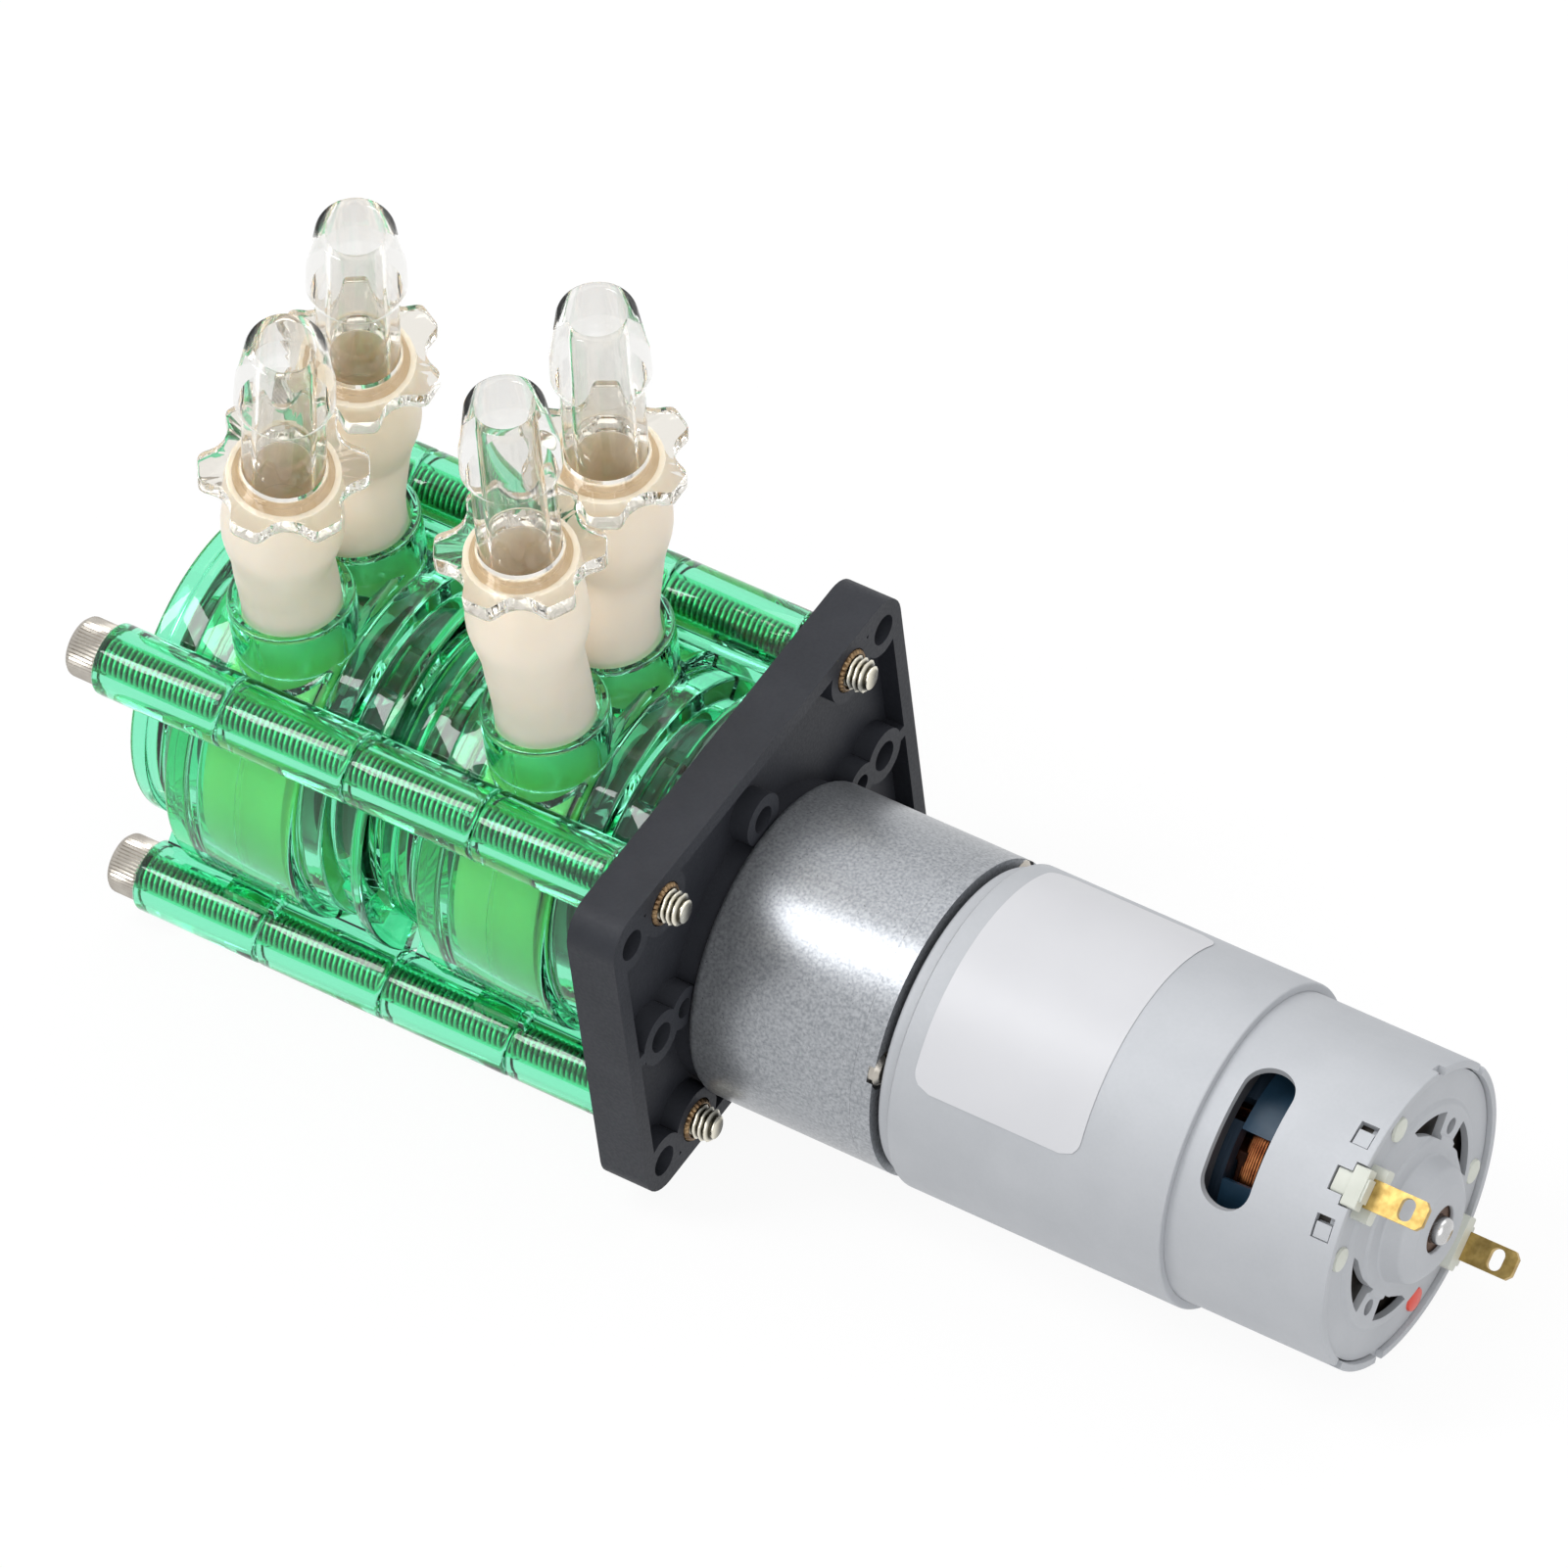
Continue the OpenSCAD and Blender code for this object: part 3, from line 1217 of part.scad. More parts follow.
pump_shaft(stack_end + 2, stack_end + 2, seam_2 - disc_out - hub_gap, seam_2 - 1.5);  // end_shaft
head_at(seam_1) rotor_disc(-1);  // rotor_1_front_disc
head_at(seam_1) rotor_disc(1);  // rotor_1_rear_disc
head_at(seam_1) rotor_pins();  // rotor_1_pins
head_at(seam_2) rotor_disc(-1);  // rotor_2_front_disc
head_at(seam_2) rotor_disc(1);  // rotor_2_rear_disc
head_at(seam_2) rotor_pins();  // rotor_2_pins
head_at(seam_1) roller(roller_angles[0]);  // roller_1a
head_at(seam_1) roller(roller_angles[1]);  // roller_1b
head_at(seam_1) roller(roller_angles[2]);  // roller_1c
head_at(seam_2) roller(roller_angles[0]);  // roller_2a
head_at(seam_2) roller(roller_angles[1]);  // roller_2b
head_at(seam_2) roller(roller_angles[2]);  // roller_2c
second_idler();
first_idler();
motor_shaft();
motor_pinion();
armature_core();
armature_windings();
commutator();
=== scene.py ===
import json
import math

import bmesh
import bpy
import numpy as np
from mathutils import Matrix, Vector

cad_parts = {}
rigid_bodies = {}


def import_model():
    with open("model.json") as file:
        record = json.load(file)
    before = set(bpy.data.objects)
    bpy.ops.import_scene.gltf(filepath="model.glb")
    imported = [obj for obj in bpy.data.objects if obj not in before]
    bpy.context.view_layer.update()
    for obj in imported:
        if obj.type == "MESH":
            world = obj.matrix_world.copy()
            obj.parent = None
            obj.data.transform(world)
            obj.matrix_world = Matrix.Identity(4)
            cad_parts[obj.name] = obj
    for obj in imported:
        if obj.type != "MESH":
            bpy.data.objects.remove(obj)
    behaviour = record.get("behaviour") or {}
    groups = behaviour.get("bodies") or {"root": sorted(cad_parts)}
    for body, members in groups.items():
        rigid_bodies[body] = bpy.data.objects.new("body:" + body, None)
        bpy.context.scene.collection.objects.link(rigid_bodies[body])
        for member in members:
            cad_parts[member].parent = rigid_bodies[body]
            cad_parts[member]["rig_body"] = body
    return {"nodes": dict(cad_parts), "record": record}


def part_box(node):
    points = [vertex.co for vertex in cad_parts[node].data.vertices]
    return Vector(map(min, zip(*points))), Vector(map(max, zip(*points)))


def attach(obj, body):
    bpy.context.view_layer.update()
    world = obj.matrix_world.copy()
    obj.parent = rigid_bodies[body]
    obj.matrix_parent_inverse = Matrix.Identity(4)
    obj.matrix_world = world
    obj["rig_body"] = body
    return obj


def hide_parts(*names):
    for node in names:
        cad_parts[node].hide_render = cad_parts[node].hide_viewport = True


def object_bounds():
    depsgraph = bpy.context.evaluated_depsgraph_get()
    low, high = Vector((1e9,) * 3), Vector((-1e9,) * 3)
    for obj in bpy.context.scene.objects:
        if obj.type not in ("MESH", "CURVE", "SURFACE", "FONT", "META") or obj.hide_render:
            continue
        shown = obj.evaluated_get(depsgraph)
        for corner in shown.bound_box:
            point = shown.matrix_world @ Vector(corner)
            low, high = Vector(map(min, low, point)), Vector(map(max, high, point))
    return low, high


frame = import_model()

cad_box = [list(map(float, corner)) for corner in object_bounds()]

# Lengths are millimetres in the frame of the CAD model, and loose_object makes them metres
MM = 0.001
# Where the half-shells of each head meet, and the outer end of the stack of heads
SEAMS = {1: -22.5, 2: -55.5}
STACK_END = -72.0
# The long screws stand on the corners of a square, and their tips stick out of the plate
SCREW_AT = 18.5
CORNERS = [(y, z) for y in (-SCREW_AT, SCREW_AT) for z in (-SCREW_AT, SCREW_AT)]
SCREW_TIP = 2.75
# Height of the gearbox and motor axis, radii of the can and the flux ring, and the can's rear edge
MOTOR_Z = -7.0
MOTOR_AT = (0, MOTOR_Z)
CAN_R, CAN_IN, CAN_END = 17.9, 16.9, 80
RING_R = 18.9
# Angles of the two terminals and the two brushes round the motor axis, in degrees
LUG_ANGLES = (121, 301)
BRUSH_ANGLES = (31, 211)


# ---------------------------------------------------------------- surfaces
def sweep(rings, loop=False):
    """Surface over an array of closed rings, shape (rings, points, 3): neighbouring rings are joined by quads.
    With loop the last ring joins the first, and otherwise one face closes each end."""
    m, k = rings.shape[:2]
    i = np.arange(m if loop else m - 1)[:, None]
    j = np.arange(k)[None, :]
    nxt = (i + 1) % m
    quads = np.stack([i * k + j, i * k + (j + 1) % k, nxt * k + (j + 1) % k, nxt * k + j], -1)
    faces = quads.reshape(-1, 4).tolist()
    if not loop:
        faces += [list(range(k))[::-1], list(range((m - 1) * k, m * k))]
    return rings.reshape(-1, 3), faces


def outward(points, faces):
    """Turns every face round if the volume that the faces enclose comes out negative. The volume is the sum
    of the pyramids from the origin over the triangles that each face fans into."""
    tris = [(f[0], f[n], f[n + 1]) for f in faces for n in range(1, len(f) - 1)]
    a, b, c = (points[np.array(tris)[:, n]] for n in range(3))
    if np.einsum("ij,ij->i", a, np.cross(b, c)).sum() < 0:
        faces = [f[::-1] for f in faces]
    return points, faces


def solid(rings, loop=False):
    return outward(*sweep(rings, loop))


def fillet(corners, steps=4):
    """Closed outline from corners (u, v, radius): each corner is replaced by an arc that touches both its
    sides, whose tangent length is the radius divided by the tangent of half the corner's angle."""
    out = []
    count = len(corners)
    for n, (u, v, radius) in enumerate(corners):
        p = np.array([u, v], float)
        a = np.array(corners[n - 1][:2], float) - p
        b = np.array(corners[(n + 1) % count][:2], float) - p
        la, lb = np.linalg.norm(a), np.linalg.norm(b)
        a, b = a / la, b / lb
        half = math.acos(max(-1.0, min(1.0, float(a @ b)))) / 2
        if radius <= 0 or half > 1.5:
            out.append(p[None])
            continue
        reach = min(radius / math.tan(half), 0.49 * la, 0.49 * lb)
        r = reach * math.tan(half)
        centre = p + (a + b) / np.linalg.norm(a + b) * r / math.sin(half)
        s0, s1 = p + a * reach - centre, p + b * reach - centre
        t = np.linspace(0, 1, steps + 1)[:, None]
        sweep_angle = math.pi - 2 * half
        arc = (np.sin((1 - t) * sweep_angle) * s0 + np.sin(t * sweep_angle) * s1) / math.sin(sweep_angle)
        out.append(centre + arc)
    return np.concatenate(out)


def full_turn(count):
    return np.linspace(0, 2 * np.pi, count, endpoint=False)


def round_x(x, r, a, at=(0.0, 0.0)):
    """Points at x, and at radius r and angle a round an axis along X: y and z are the axis's place plus r times
    the cosine and the sine. The shapes of the three have to go together."""
    return np.stack(np.broadcast_arrays(x, at[0] + r * np.cos(a), at[1] + r * np.sin(a)), -1)


def rings_round(outline, at, a):
    """Copies of an outline (x, r) at each angle round an axis along X."""
    x, r = np.asarray(outline, float).T
    return round_x(x, r, a[:, None], at)


def turned(outline, centre=(0.0, 0.0), count=96):
    """Ring turned about an axis along X: each outline point (x, r) goes round at its radius r."""
    return solid(rings_round(outline, centre, full_turn(count)), loop=True)


def turned_up(outline, centre, count=64):
    """Ring turned about an upright axis: each outline point (z, r) goes round at its radius r."""
    return solid(rings_round(outline, centre, full_turn(count))[..., [1, 2, 0]], loop=True)


def sector(outline, centre, a0, a1, count=12):
    """Part of a turned ring between two angles in degrees, closed by a flat face at each end."""
    return solid(rings_round(outline, centre, np.radians(np.linspace(a0, a1, count))))


def bar(section, x0, x1, axes=((1, 0, 0), (0, 1, 0), (0, 0, 1))):
    """Straight bar with the given section (v, w), from x0 to x1 along the first of three axes."""
    section = np.asarray(section, float)
    u, v, w = (np.array(axis, float) for axis in axes)
    return solid(np.stack([x * u + section[:, :1] * v + section[:, 1:] * w for x in (x0, x1)]))


def disc_bar(at, radius, x0, x1, count=48):
    """Solid round bar along X, closed by one face at each end."""
    return bar(round_x(0, radius, full_turn(count), at)[:, 1:], x0, x1)


def rectangle(v0, v1, w0, w1, radius=0.3, steps=3):
    """Outline of a rectangle with rounded corners."""
    return fillet([(v0, w0, radius), (v1, w0, radius), (v1, w1, radius), (v0, w1, radius)], steps)


def shade_smooth(mesh, angle):
    mesh.polygons.foreach_set("use_smooth", np.ones(len(mesh.polygons), bool))
    mesh.set_sharp_from_angle(angle=math.radians(angle))


def place_object(name, data):
    obj = bpy.data.objects.new(name, data)
    bpy.context.scene.collection.objects.link(obj)
    return obj


def loose_object(name, points, faces):
    """Object from points in millimetres."""
    mesh = bpy.data.meshes.new(name)
    mesh.from_pydata((np.asarray(points) * MM).tolist(), [], faces)
    mesh.update()
    return place_object(name, mesh)


def combine(base, others, operation):
    """Joins solids to, or cuts them from, the base, one after the other, and keeps the resulting mesh."""
    tools = []
    for n, (points, faces) in enumerate(others):
        tool = loose_object("tool_%d" % n, points, faces)
        step = base.modifiers.new("step_%d" % n, "BOOLEAN")
        step.object, step.operation, step.solver = tool, operation, "MANIFOLD"
        tools.append(tool)
    bpy.context.view_layer.update()
    mesh = bpy.data.meshes.new_from_object(base.evaluated_get(bpy.context.evaluated_depsgraph_get()))
    base.modifiers.clear()
    base.data = mesh
    for tool in tools:
        bpy.data.objects.remove(tool)
    return base


def finish_piece(obj, material, nodes=(), angle=32, body="frame"):
    """Shades a piece, gives it its material and puts it on its body, in place of the nodes that it redraws."""
    obj.data.materials.clear()
    obj.data.materials.append(material)
    shade_smooth(obj.data, angle)
    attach(obj, body)
    if nodes:
        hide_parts(*nodes)
    return obj


def soften(obj, width, angle=35):
    """Rounds the edges of a finished piece that are sharper than an angle in degrees."""
    edge = obj.modifiers.new("edges", "BEVEL")
    edge.width, edge.segments = width * MM, 2
    edge.limit_method, edge.angle_limit = "ANGLE", math.radians(angle)
    edge.use_clamp_overlap, edge.harden_normals = True, True
    edge.miter_outer = "MITER_ARC"
    return obj


def make_piece(name, parts, material, nodes=(), angle=32, body="frame"):
    """One piece from several closed surfaces that don't cut one another."""
    points, faces, start = [], [], 0
    for p, f in parts:
        points.append(p)
        faces += [[v + start for v in face] for face in f]
        start += len(p)
    return finish_piece(loose_object(name, np.concatenate(points), faces), material, nodes, angle, body)


def cad_copy(node, material, bevel=0.0, angle=32):
    """Copy of a CAD node with its triangles merged, smooth over its curves and bevelled on its edges."""
    source = frame["nodes"][node]
    mesh = source.data.copy()
    mesh.name = "fine_" + node
    grid = bmesh.new()
    grid.from_mesh(mesh)
    bmesh.ops.remove_doubles(grid, verts=grid.verts, dist=2e-6)
    bmesh.ops.dissolve_limit(grid, angle_limit=math.radians(0.4), verts=grid.verts, edges=grid.edges)
    grid.to_mesh(mesh)
    grid.free()
    for attribute in ("custom_normal", "sharp_edge", "sharp_face"):
        if attribute in mesh.attributes:
            mesh.attributes.remove(mesh.attributes[attribute])
    obj = finish_piece(place_object(mesh.name, mesh), material, (node,), angle, source["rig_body"])
    return soften(obj, bevel, angle + 3) if bevel else obj


# ---------------------------------------------------------------- materials
class Nodes:
    """Short way to add, set and link the nodes of one tree."""

    def __init__(self, tree):
        self.tree = tree

    def fill(self, node, values):
        """Links each value that is a socket to the input named, and sets the others as constants."""
        for key, value in dict(values).items():
            if isinstance(value, bpy.types.NodeSocket):
                self.tree.links.new(value, node.inputs[key])
            else:
                node.inputs[key].default_value = value
        return node

    def add(self, kind, values=(), **settings):
        node = self.tree.nodes.new(kind)
        for key, value in settings.items():
            setattr(node, key, value)
        return self.fill(node, values)

    def place(self):
        return self.add("ShaderNodeTexCoord").outputs["Object"]

    def noise(self, place, scale, detail):
        return self.add("ShaderNodeTexNoise", {"Vector": place, "Scale": scale, "Detail": detail}).outputs["Fac"]

    def remap(self, value, low, high, to_low=0.0, to_high=1.0):
        """Moves a value from one range to another and clamps it."""
        return self.add("ShaderNodeMapRange", {"Value": value, "From Min": low, "From Max": high, "To Min": to_low,
                                               "To Max": to_high}).outputs["Result"]

    def mix(self, share, a, b, blend="MIX"):
        """Blends from colour a to colour b by a share."""
        return self.add("ShaderNodeMix", {0: share, 6: a, 7: b}, data_type="RGBA", blend_type=blend).outputs[2]

    def relief(self, height, depth):
        """Normal of a bump with a depth in millimetres."""
        return self.add("ShaderNodeBump", {"Height": height, "Strength": 1.0, "Distance": depth * MM}).outputs["Normal"]


def mottle_group():
    """Colours and roughness that wander over a surface: soft noise mixes two colours, and a finer noise
    moves the roughness and gives a height for the bump."""
    tree = bpy.data.node_groups.new("mottled_surface", "ShaderNodeTree")
    for way, kind, names in (("INPUT", "Vector", ("Vector",)), ("INPUT", "Color", ("Colour A", "Colour B")),
                             ("INPUT", "Float", ("Patch Scale", "Grain Scale", "Roughness Low", "Roughness High")),
                             ("OUTPUT", "Color", ("Colour",)), ("OUTPUT", "Float", ("Roughness", "Height"))):
        for name in names:
            tree.interface.new_socket(name, in_out=way, socket_type="NodeSocket" + kind)
    n = Nodes(tree)
    given = n.add("NodeGroupInput").outputs
    patch = n.noise(given["Vector"], given["Patch Scale"], 4.0)
    grain = n.noise(given["Vector"], given["Grain Scale"], 3.0)
    n.add("NodeGroupOutput", {
        "Colour": n.mix(n.remap(patch, 0.32, 0.68), given["Colour A"], given["Colour B"]),
        "Roughness": n.remap(grain, 0.3, 0.7, given["Roughness Low"], given["Roughness High"]), "Height": grain})
    return tree


MOTTLED = mottle_group()


def opened(material):
    """Node writer and Principled shader of a material."""
    return Nodes(material.node_tree), material.node_tree.nodes["Principled BSDF"]


def new_material(name):
    material = bpy.data.materials.new(name)
    material.use_nodes = True
    return material, *opened(material)


def surface(name, colour_a, colour_b, rough, metallic=0.0, patch=60, grain=900, bump=0.0, extra=(),
            stretch=(1, 1, 1)):
    """Opaque finish: a Principled shader whose colour, roughness and bump come from the mottled group."""
    material, n, shader = new_material(name)
    place = n.place()
    if stretch != (1, 1, 1):
        place = n.add("ShaderNodeMapping", {"Vector": place, "Scale": stretch}).outputs["Vector"]
    look = n.add("ShaderNodeGroup", {"Vector": place, "Colour A": (*colour_a, 1), "Colour B": (*colour_b, 1),
                                     "Patch Scale": patch, "Grain Scale": grain, "Roughness Low": rough[0],
                                     "Roughness High": rough[1]}, node_tree=MOTTLED).outputs
    n.fill(shader, {"Base Color": look["Colour"], "Roughness": look["Roughness"], "Metallic": metallic, **dict(extra)})
    if bump:
        n.fill(shader, {"Normal": n.relief(look["Height"], bump)})
    return material


def clear_plastic(name, tint, lamp_tint, roughness, ior, wave=0.0, extra=()):
    """See-through moulding: a Principled shader with full transmission. A wave in millimetres makes it faintly
    uneven, as moulded parts are."""
    material, n, shader = new_material(name)
    n.fill(shader, {"Base Color": (*tint, 1), "Roughness": roughness, "IOR": ior, "Transmission Weight": 1.0,
                    **dict(extra)})
    if wave:
        n.fill(shader, {"Normal": n.relief(n.noise(n.place(), 110.0, 1.0), wave)})
    # Lamps shine through to what lies behind, tinted once at each surface
    lamp_ray = n.add("ShaderNodeLightPath").outputs["Is Shadow Ray"]
    through = n.add("ShaderNodeBsdfTransparent", {"Color": (*lamp_tint, 1)})
    mix = n.add("ShaderNodeMixShader", {0: lamp_ray, 1: shader.outputs["BSDF"], 2: through.outputs["BSDF"]})
    n.fill(material.node_tree.nodes["Material Output"], {"Surface": mix.outputs["Shader"]})
    return material


M = {}
# Name, tint, tint of lamp light, roughness, index of refraction, wave in millimetres and other inputs
for name, *finish in (
    ("pump_green", (0.22, 0.87, 0.54), (0.97, 1.0, 0.97), 0.015, 1.49, 0.02, {"Specular IOR Level": 0.38}),
    ("connector_clear", (0.89, 0.885, 0.865), (0.99, 0.99, 0.98), 0.02, 1.03, 0,
     {"Coat Weight": 1.0, "Coat Roughness": 0.03}),
    ("connector_flange", (0.80, 0.77, 0.71), (0.97, 0.97, 0.96), 0.02, 1.42),
):
    M[name] = clear_plastic(name, *finish)
# Name, both colours of the mottle, range of roughness, metallic, patch scale, grain scale, bump in millimetres,
# other inputs and stretch
for name, *finish in (
    ("pump_tube", (0.84, 0.72, 0.60), (0.87, 0.75, 0.63), (0.42, 0.5), 0, 90, 700, 0.01,
     {"Subsurface Weight": 0.8, "Subsurface Scale": 0.004, "Subsurface Radius": (1.0, 0.8, 0.6)}),
    ("tube_end_tan", (0.42, 0.30, 0.17), (0.50, 0.37, 0.22), (0.45, 0.55), 0, 500),
    ("plate_charcoal", (0.019, 0.021, 0.027), (0.025, 0.027, 0.034), (0.5, 0.62), 0, 200, 2500, 0.02,
     {"Specular IOR Level": 0.28}),
    ("gearbox_zinc", (0.25, 0.265, 0.285), (0.42, 0.435, 0.46), (0.27, 0.37), 0.7, 2800, 5000, 0.004),
    ("plated_steel", (0.44, 0.455, 0.48), (0.47, 0.485, 0.51), (0.64, 0.70), 0.45, 120, 2400, 0.003),
    ("screw_steel", (0.40, 0.37, 0.33), (0.52, 0.49, 0.44), (0.2, 0.3), 1, 500),
    ("insert_brass", (0.10, 0.06, 0.035), (0.32, 0.22, 0.12), (0.35, 0.5), 1, 900),
    ("winding_blue", (0.012, 0.045, 0.085), (0.02, 0.065, 0.12), (0.35, 0.45), 0, 300),
    ("shaft_steel", (0.5, 0.5, 0.5), (0.6, 0.6, 0.6), (0.2, 0.3), 1, 300),
    ("brass", (0.36, 0.24, 0.075), (0.56, 0.40, 0.14), (0.3, 0.45), 1, 1100),
    ("bronze", (0.09, 0.05, 0.035), (0.16, 0.10, 0.07), (0.4, 0.55), 1, 600),
    ("gear_steel", (0.45, 0.44, 0.4), (0.52, 0.5, 0.46), (0.3, 0.4), 1, 300),
    ("rotor_black", (0.012, 0.014, 0.013), (0.02, 0.022, 0.021), (0.3, 0.4), 0, 200),
    ("roller_white", (0.78, 0.78, 0.74), (0.84, 0.84, 0.8), (0.35, 0.45), 0, 200),
    ("magnet_black", (0.03, 0.03, 0.035), (0.05, 0.05, 0.055), (0.5, 0.6), 0, 300),
    ("core_steel", (0.015, 0.03, 0.05), (0.03, 0.05, 0.08), (0.35, 0.5), 0.4, 300, 900, 0, (), (12, 1, 1)),
    ("copper", (0.24, 0.07, 0.028), (0.52, 0.19, 0.07), (0.25, 0.35), 1, 900),
    ("copper_dark", (0.05, 0.018, 0.01), (0.09, 0.03, 0.015), (0.4, 0.5), 0.6, 900),
    ("carbon", (0.02, 0.02, 0.02), (0.035, 0.035, 0.035), (0.5, 0.6), 0, 300),
    ("nylon_white", (0.54, 0.56, 0.50), (0.60, 0.62, 0.56), (0.4, 0.5), 0, 250),
    ("holder_brown", (0.018, 0.014, 0.011), (0.026, 0.02, 0.015), (0.4, 0.5), 0, 300),
    ("label_white", (0.55, 0.555, 0.58), (0.57, 0.575, 0.60), (0.4, 0.44), 0, 80),
    ("rivet_red", (0.62, 0.05, 0.03), (0.7, 0.08, 0.05), (0.3, 0.4), 0, 300),
    ("thread_steel", (0.40, 0.37, 0.33), (0.52, 0.49, 0.44), (0.2, 0.3), 1, 500),
):
    M[name] = surface(name, *finish)


def tinted_below(material, low, high, tint):
    """Multiplies a finish's colour by a tint below a height, blended between two heights in metres."""
    n, shader = opened(material)
    height = n.add("ShaderNodeSeparateXYZ", {"Vector": n.place()}).outputs["Z"]
    factor = n.mix(n.remap(height, low, high), (*tint, 1), (1, 1, 1, 1))
    colour = shader.inputs["Base Color"].links[0].from_socket
    n.fill(shader, {"Base Color": n.mix(1.0, colour, factor, "MULTIPLY")})


def paint_thread_light_and_shade(material, crest, root):
    """Paints light and shade into a thread: painted light on its crests and painted shade down in its grooves, blended
    by the piece's own groove attribute.
    """
    n, shader = opened(material)
    depth = n.add("ShaderNodeAttribute", attribute_name="groove").outputs["Fac"]
    n.fill(shader, {"Base Color": n.mix(n.remap(depth, 0.25, 0.75), (*crest, 1), (*root, 1))})


# Painted light on the thread crests and painted shade in the thread grooves
paint_thread_light_and_shade(M["thread_steel"], (0.82, 0.78, 0.66), (0.05, 0.045, 0.03))
# Painted light: the pump tube's colour is made warmer, with less green and blue, inside the heads, standing in for the
# light it gets there, unlike where it has light all round
tinted_below(M["pump_tube"], 0.02, 0.026, (1.18, 0.9, 0.5))
slots = {row["node"]: row["material_slot"] for row in frame["record"]["subparts"]}
for node_name, node in frame["nodes"].items():
    node.data.materials.clear()
    node.data.materials.append(M[slots[node_name]])


# ---------------------------------------------------------------- head shells
# Half the gap at a seam, reach of a half-shell from it, radius of a screw column, and the tube ports: distance
# from the middle, height of the rim and radius of the bore
SEAM_GAP = 0.015
HALF_LEN = 16.48
COLUMN_R = 4.2
PORT_Y, PORT_Z, PORT_R = 6.4, 26.0, 5.9


def screw_column(x0, x1, at):
    """Turned column with softly rounded ends."""
    return turned(fillet([(x0, 1.0, 0), (x0, COLUMN_R, 0.55), (x1, COLUMN_R, 0.55), (x1, 1.0, 0)]), at, 48)


def web(x0, x1, angle):
    """Flat web that runs outwards from the drum to a column, with rounded long edges."""
    a = math.radians(angle)
    out, across = (0, math.cos(a), math.sin(a)), (0, -math.sin(a), math.cos(a))
    return bar(rectangle(18.0, 25.0, -0.8, 0.8, 0.2), x0, x1, ((1, 0, 0), out, across))


def snap_tab(y, z, gap):
    """Small tongue beside a column that crosses the seam, larger all round by a gap where it cuts its pocket."""
    half_w, half_t = 1.5 + gap, 0.75 + gap
    w = math.copysign(SCREW_AT - COLUMN_R - 0.75 + 0.1, z)
    return bar(rectangle(y - half_w, y + half_w, w - half_t, w + half_t, 0.25), -5.0 - gap, 1.5 + gap)


def port_collar(sign):
    """Upright sleeve round a tube port, rounded at its rim."""
    return turned_up(fillet([(14, 1, 0), (14, 7.1, 0), (PORT_Z, 7.1, 0.45), (PORT_Z, 1, 0)]), (0, sign * PORT_Y))


def port_bore(sign):
    """Bore of a port with a rounded mouth and a wider funnel below it."""
    return turned_up(fillet([(8, 0.5, 0), (8, 6.7, 0), (19.3, 6.7, 0.4), (19.3, PORT_R, 0.3),
                             (PORT_Z - 0.4, PORT_R, 0.2), (PORT_Z + 0.3, 6.5, 0), (PORT_Z + 3, 6.5, 0),
                             (PORT_Z + 3, 0.5, 0)]), (0, sign * PORT_Y))


def build_shell(name, body_outline, cavity, x0, x1, lugs):
    """Half-shell of a head: turned body with columns, webs and port collars, less its cavity and bores. The
    side with negative x has the pockets of the snap tabs, and the other side has the tabs."""
    base = loose_object(name, *turned(fillet(body_outline), count=144))
    front = x0 < 0
    joined = [screw_column(x0, x1, at) for at in CORNERS]
    joined += [web(x0 + 1, x1 - 1, a) for a in (45, 135, 225, 315)]
    joined += [port_collar(s) for s in (-1, 1)] + lugs
    combine(base, joined, "UNION")
    cuts = [turned(fillet(cavity), count=144)]
    cuts += [turned(fillet([(x0 - 2, 0.5, 0), (x0 - 2, 2.2, 0), (x1 + 2, 2.2, 0), (x1 + 2, 0.5, 0)]), at, 40)
             for at in CORNERS]
    cuts += [port_bore(s) for s in (-1, 1)]
    beyond_seam = (-SEAM_GAP, 20) if front else (-20, SEAM_GAP)
    cuts.append(bar(rectangle(-40, 40, -40, 40, 0), *beyond_seam))
    if front:
        cuts += [snap_tab(y, z, 0.12) for y, z in CORNERS]
    combine(base, cuts, "DIFFERENCE")
    if not front:
        combine(base, [snap_tab(y, z, 0) for y, z in CORNERS], "UNION")
    return base


# Outlines as (x, radius, corner radius)
FRONT_BODY = [(0.2, 1, 0), (0.2, 22.3, 0), (-9.5, 22.3, 0.7), (-9.5, 21, 0.25), (-7, 21, 0.3), (-7, 18.9, 0.3),
              (-9.5, 18.9, 0.25), (-9.5, 18, 0.3), (-14.5, 18, 0.25), (-14.5, 18.6, 0.25), (-HALF_LEN, 18.6, 0.3),
              (-HALF_LEN, 17.4, 0.15), (-13.5, 17.4, 0.2), (-13.5, 1, 0)]
FRONT_CAVITY = [(1, 0.5, 0), (1, 20.5, 0), (-5.75, 20.5, 0.5), (-5.75, 16, 0.3), (-11.5, 16, 0.5),
                (-11.5, 7.02, 0.3), (-9.5, 7.02, 0.3), (-9.5, 5.05, 0.1), (-20, 5.05, 0), (-20, 0.5, 0)]
REAR_BODY = [(-0.2, 1, 0), (-0.2, 22.3, 0), (7, 22.3, 0.7), (7, 20.6, 0.3), (10.25, 20.6, 0.5), (10.25, 18, 0.3),
             (15, 18, 0.3), (15, 22.2, 0.35), (HALF_LEN, 22.2, 0.35), (HALF_LEN, 17.2, 0.1), (17.7, 17.2, 0.3),
             (17.7, 16.3, 0.3), (15, 16.3, 0.2), (15, 1, 0)]
REAR_CAVITY = [(-1, 0.5, 0), (-1, 20.5, 0), (5.75, 20.5, 0.5), (5.75, 16, 0.3), (13, 16, 0.5), (13, 7.02, 0.3),
               (11, 7.02, 0.3), (11, 5.05, 0.1), (20, 5.05, 0), (20, 0.5, 0)]
clip_lugs = [sector(rectangle(12, 15.1, 17, 20.3, 0.4), (0, 0), 97 + 90 * k, 113 + 90 * k) for k in range(4)]
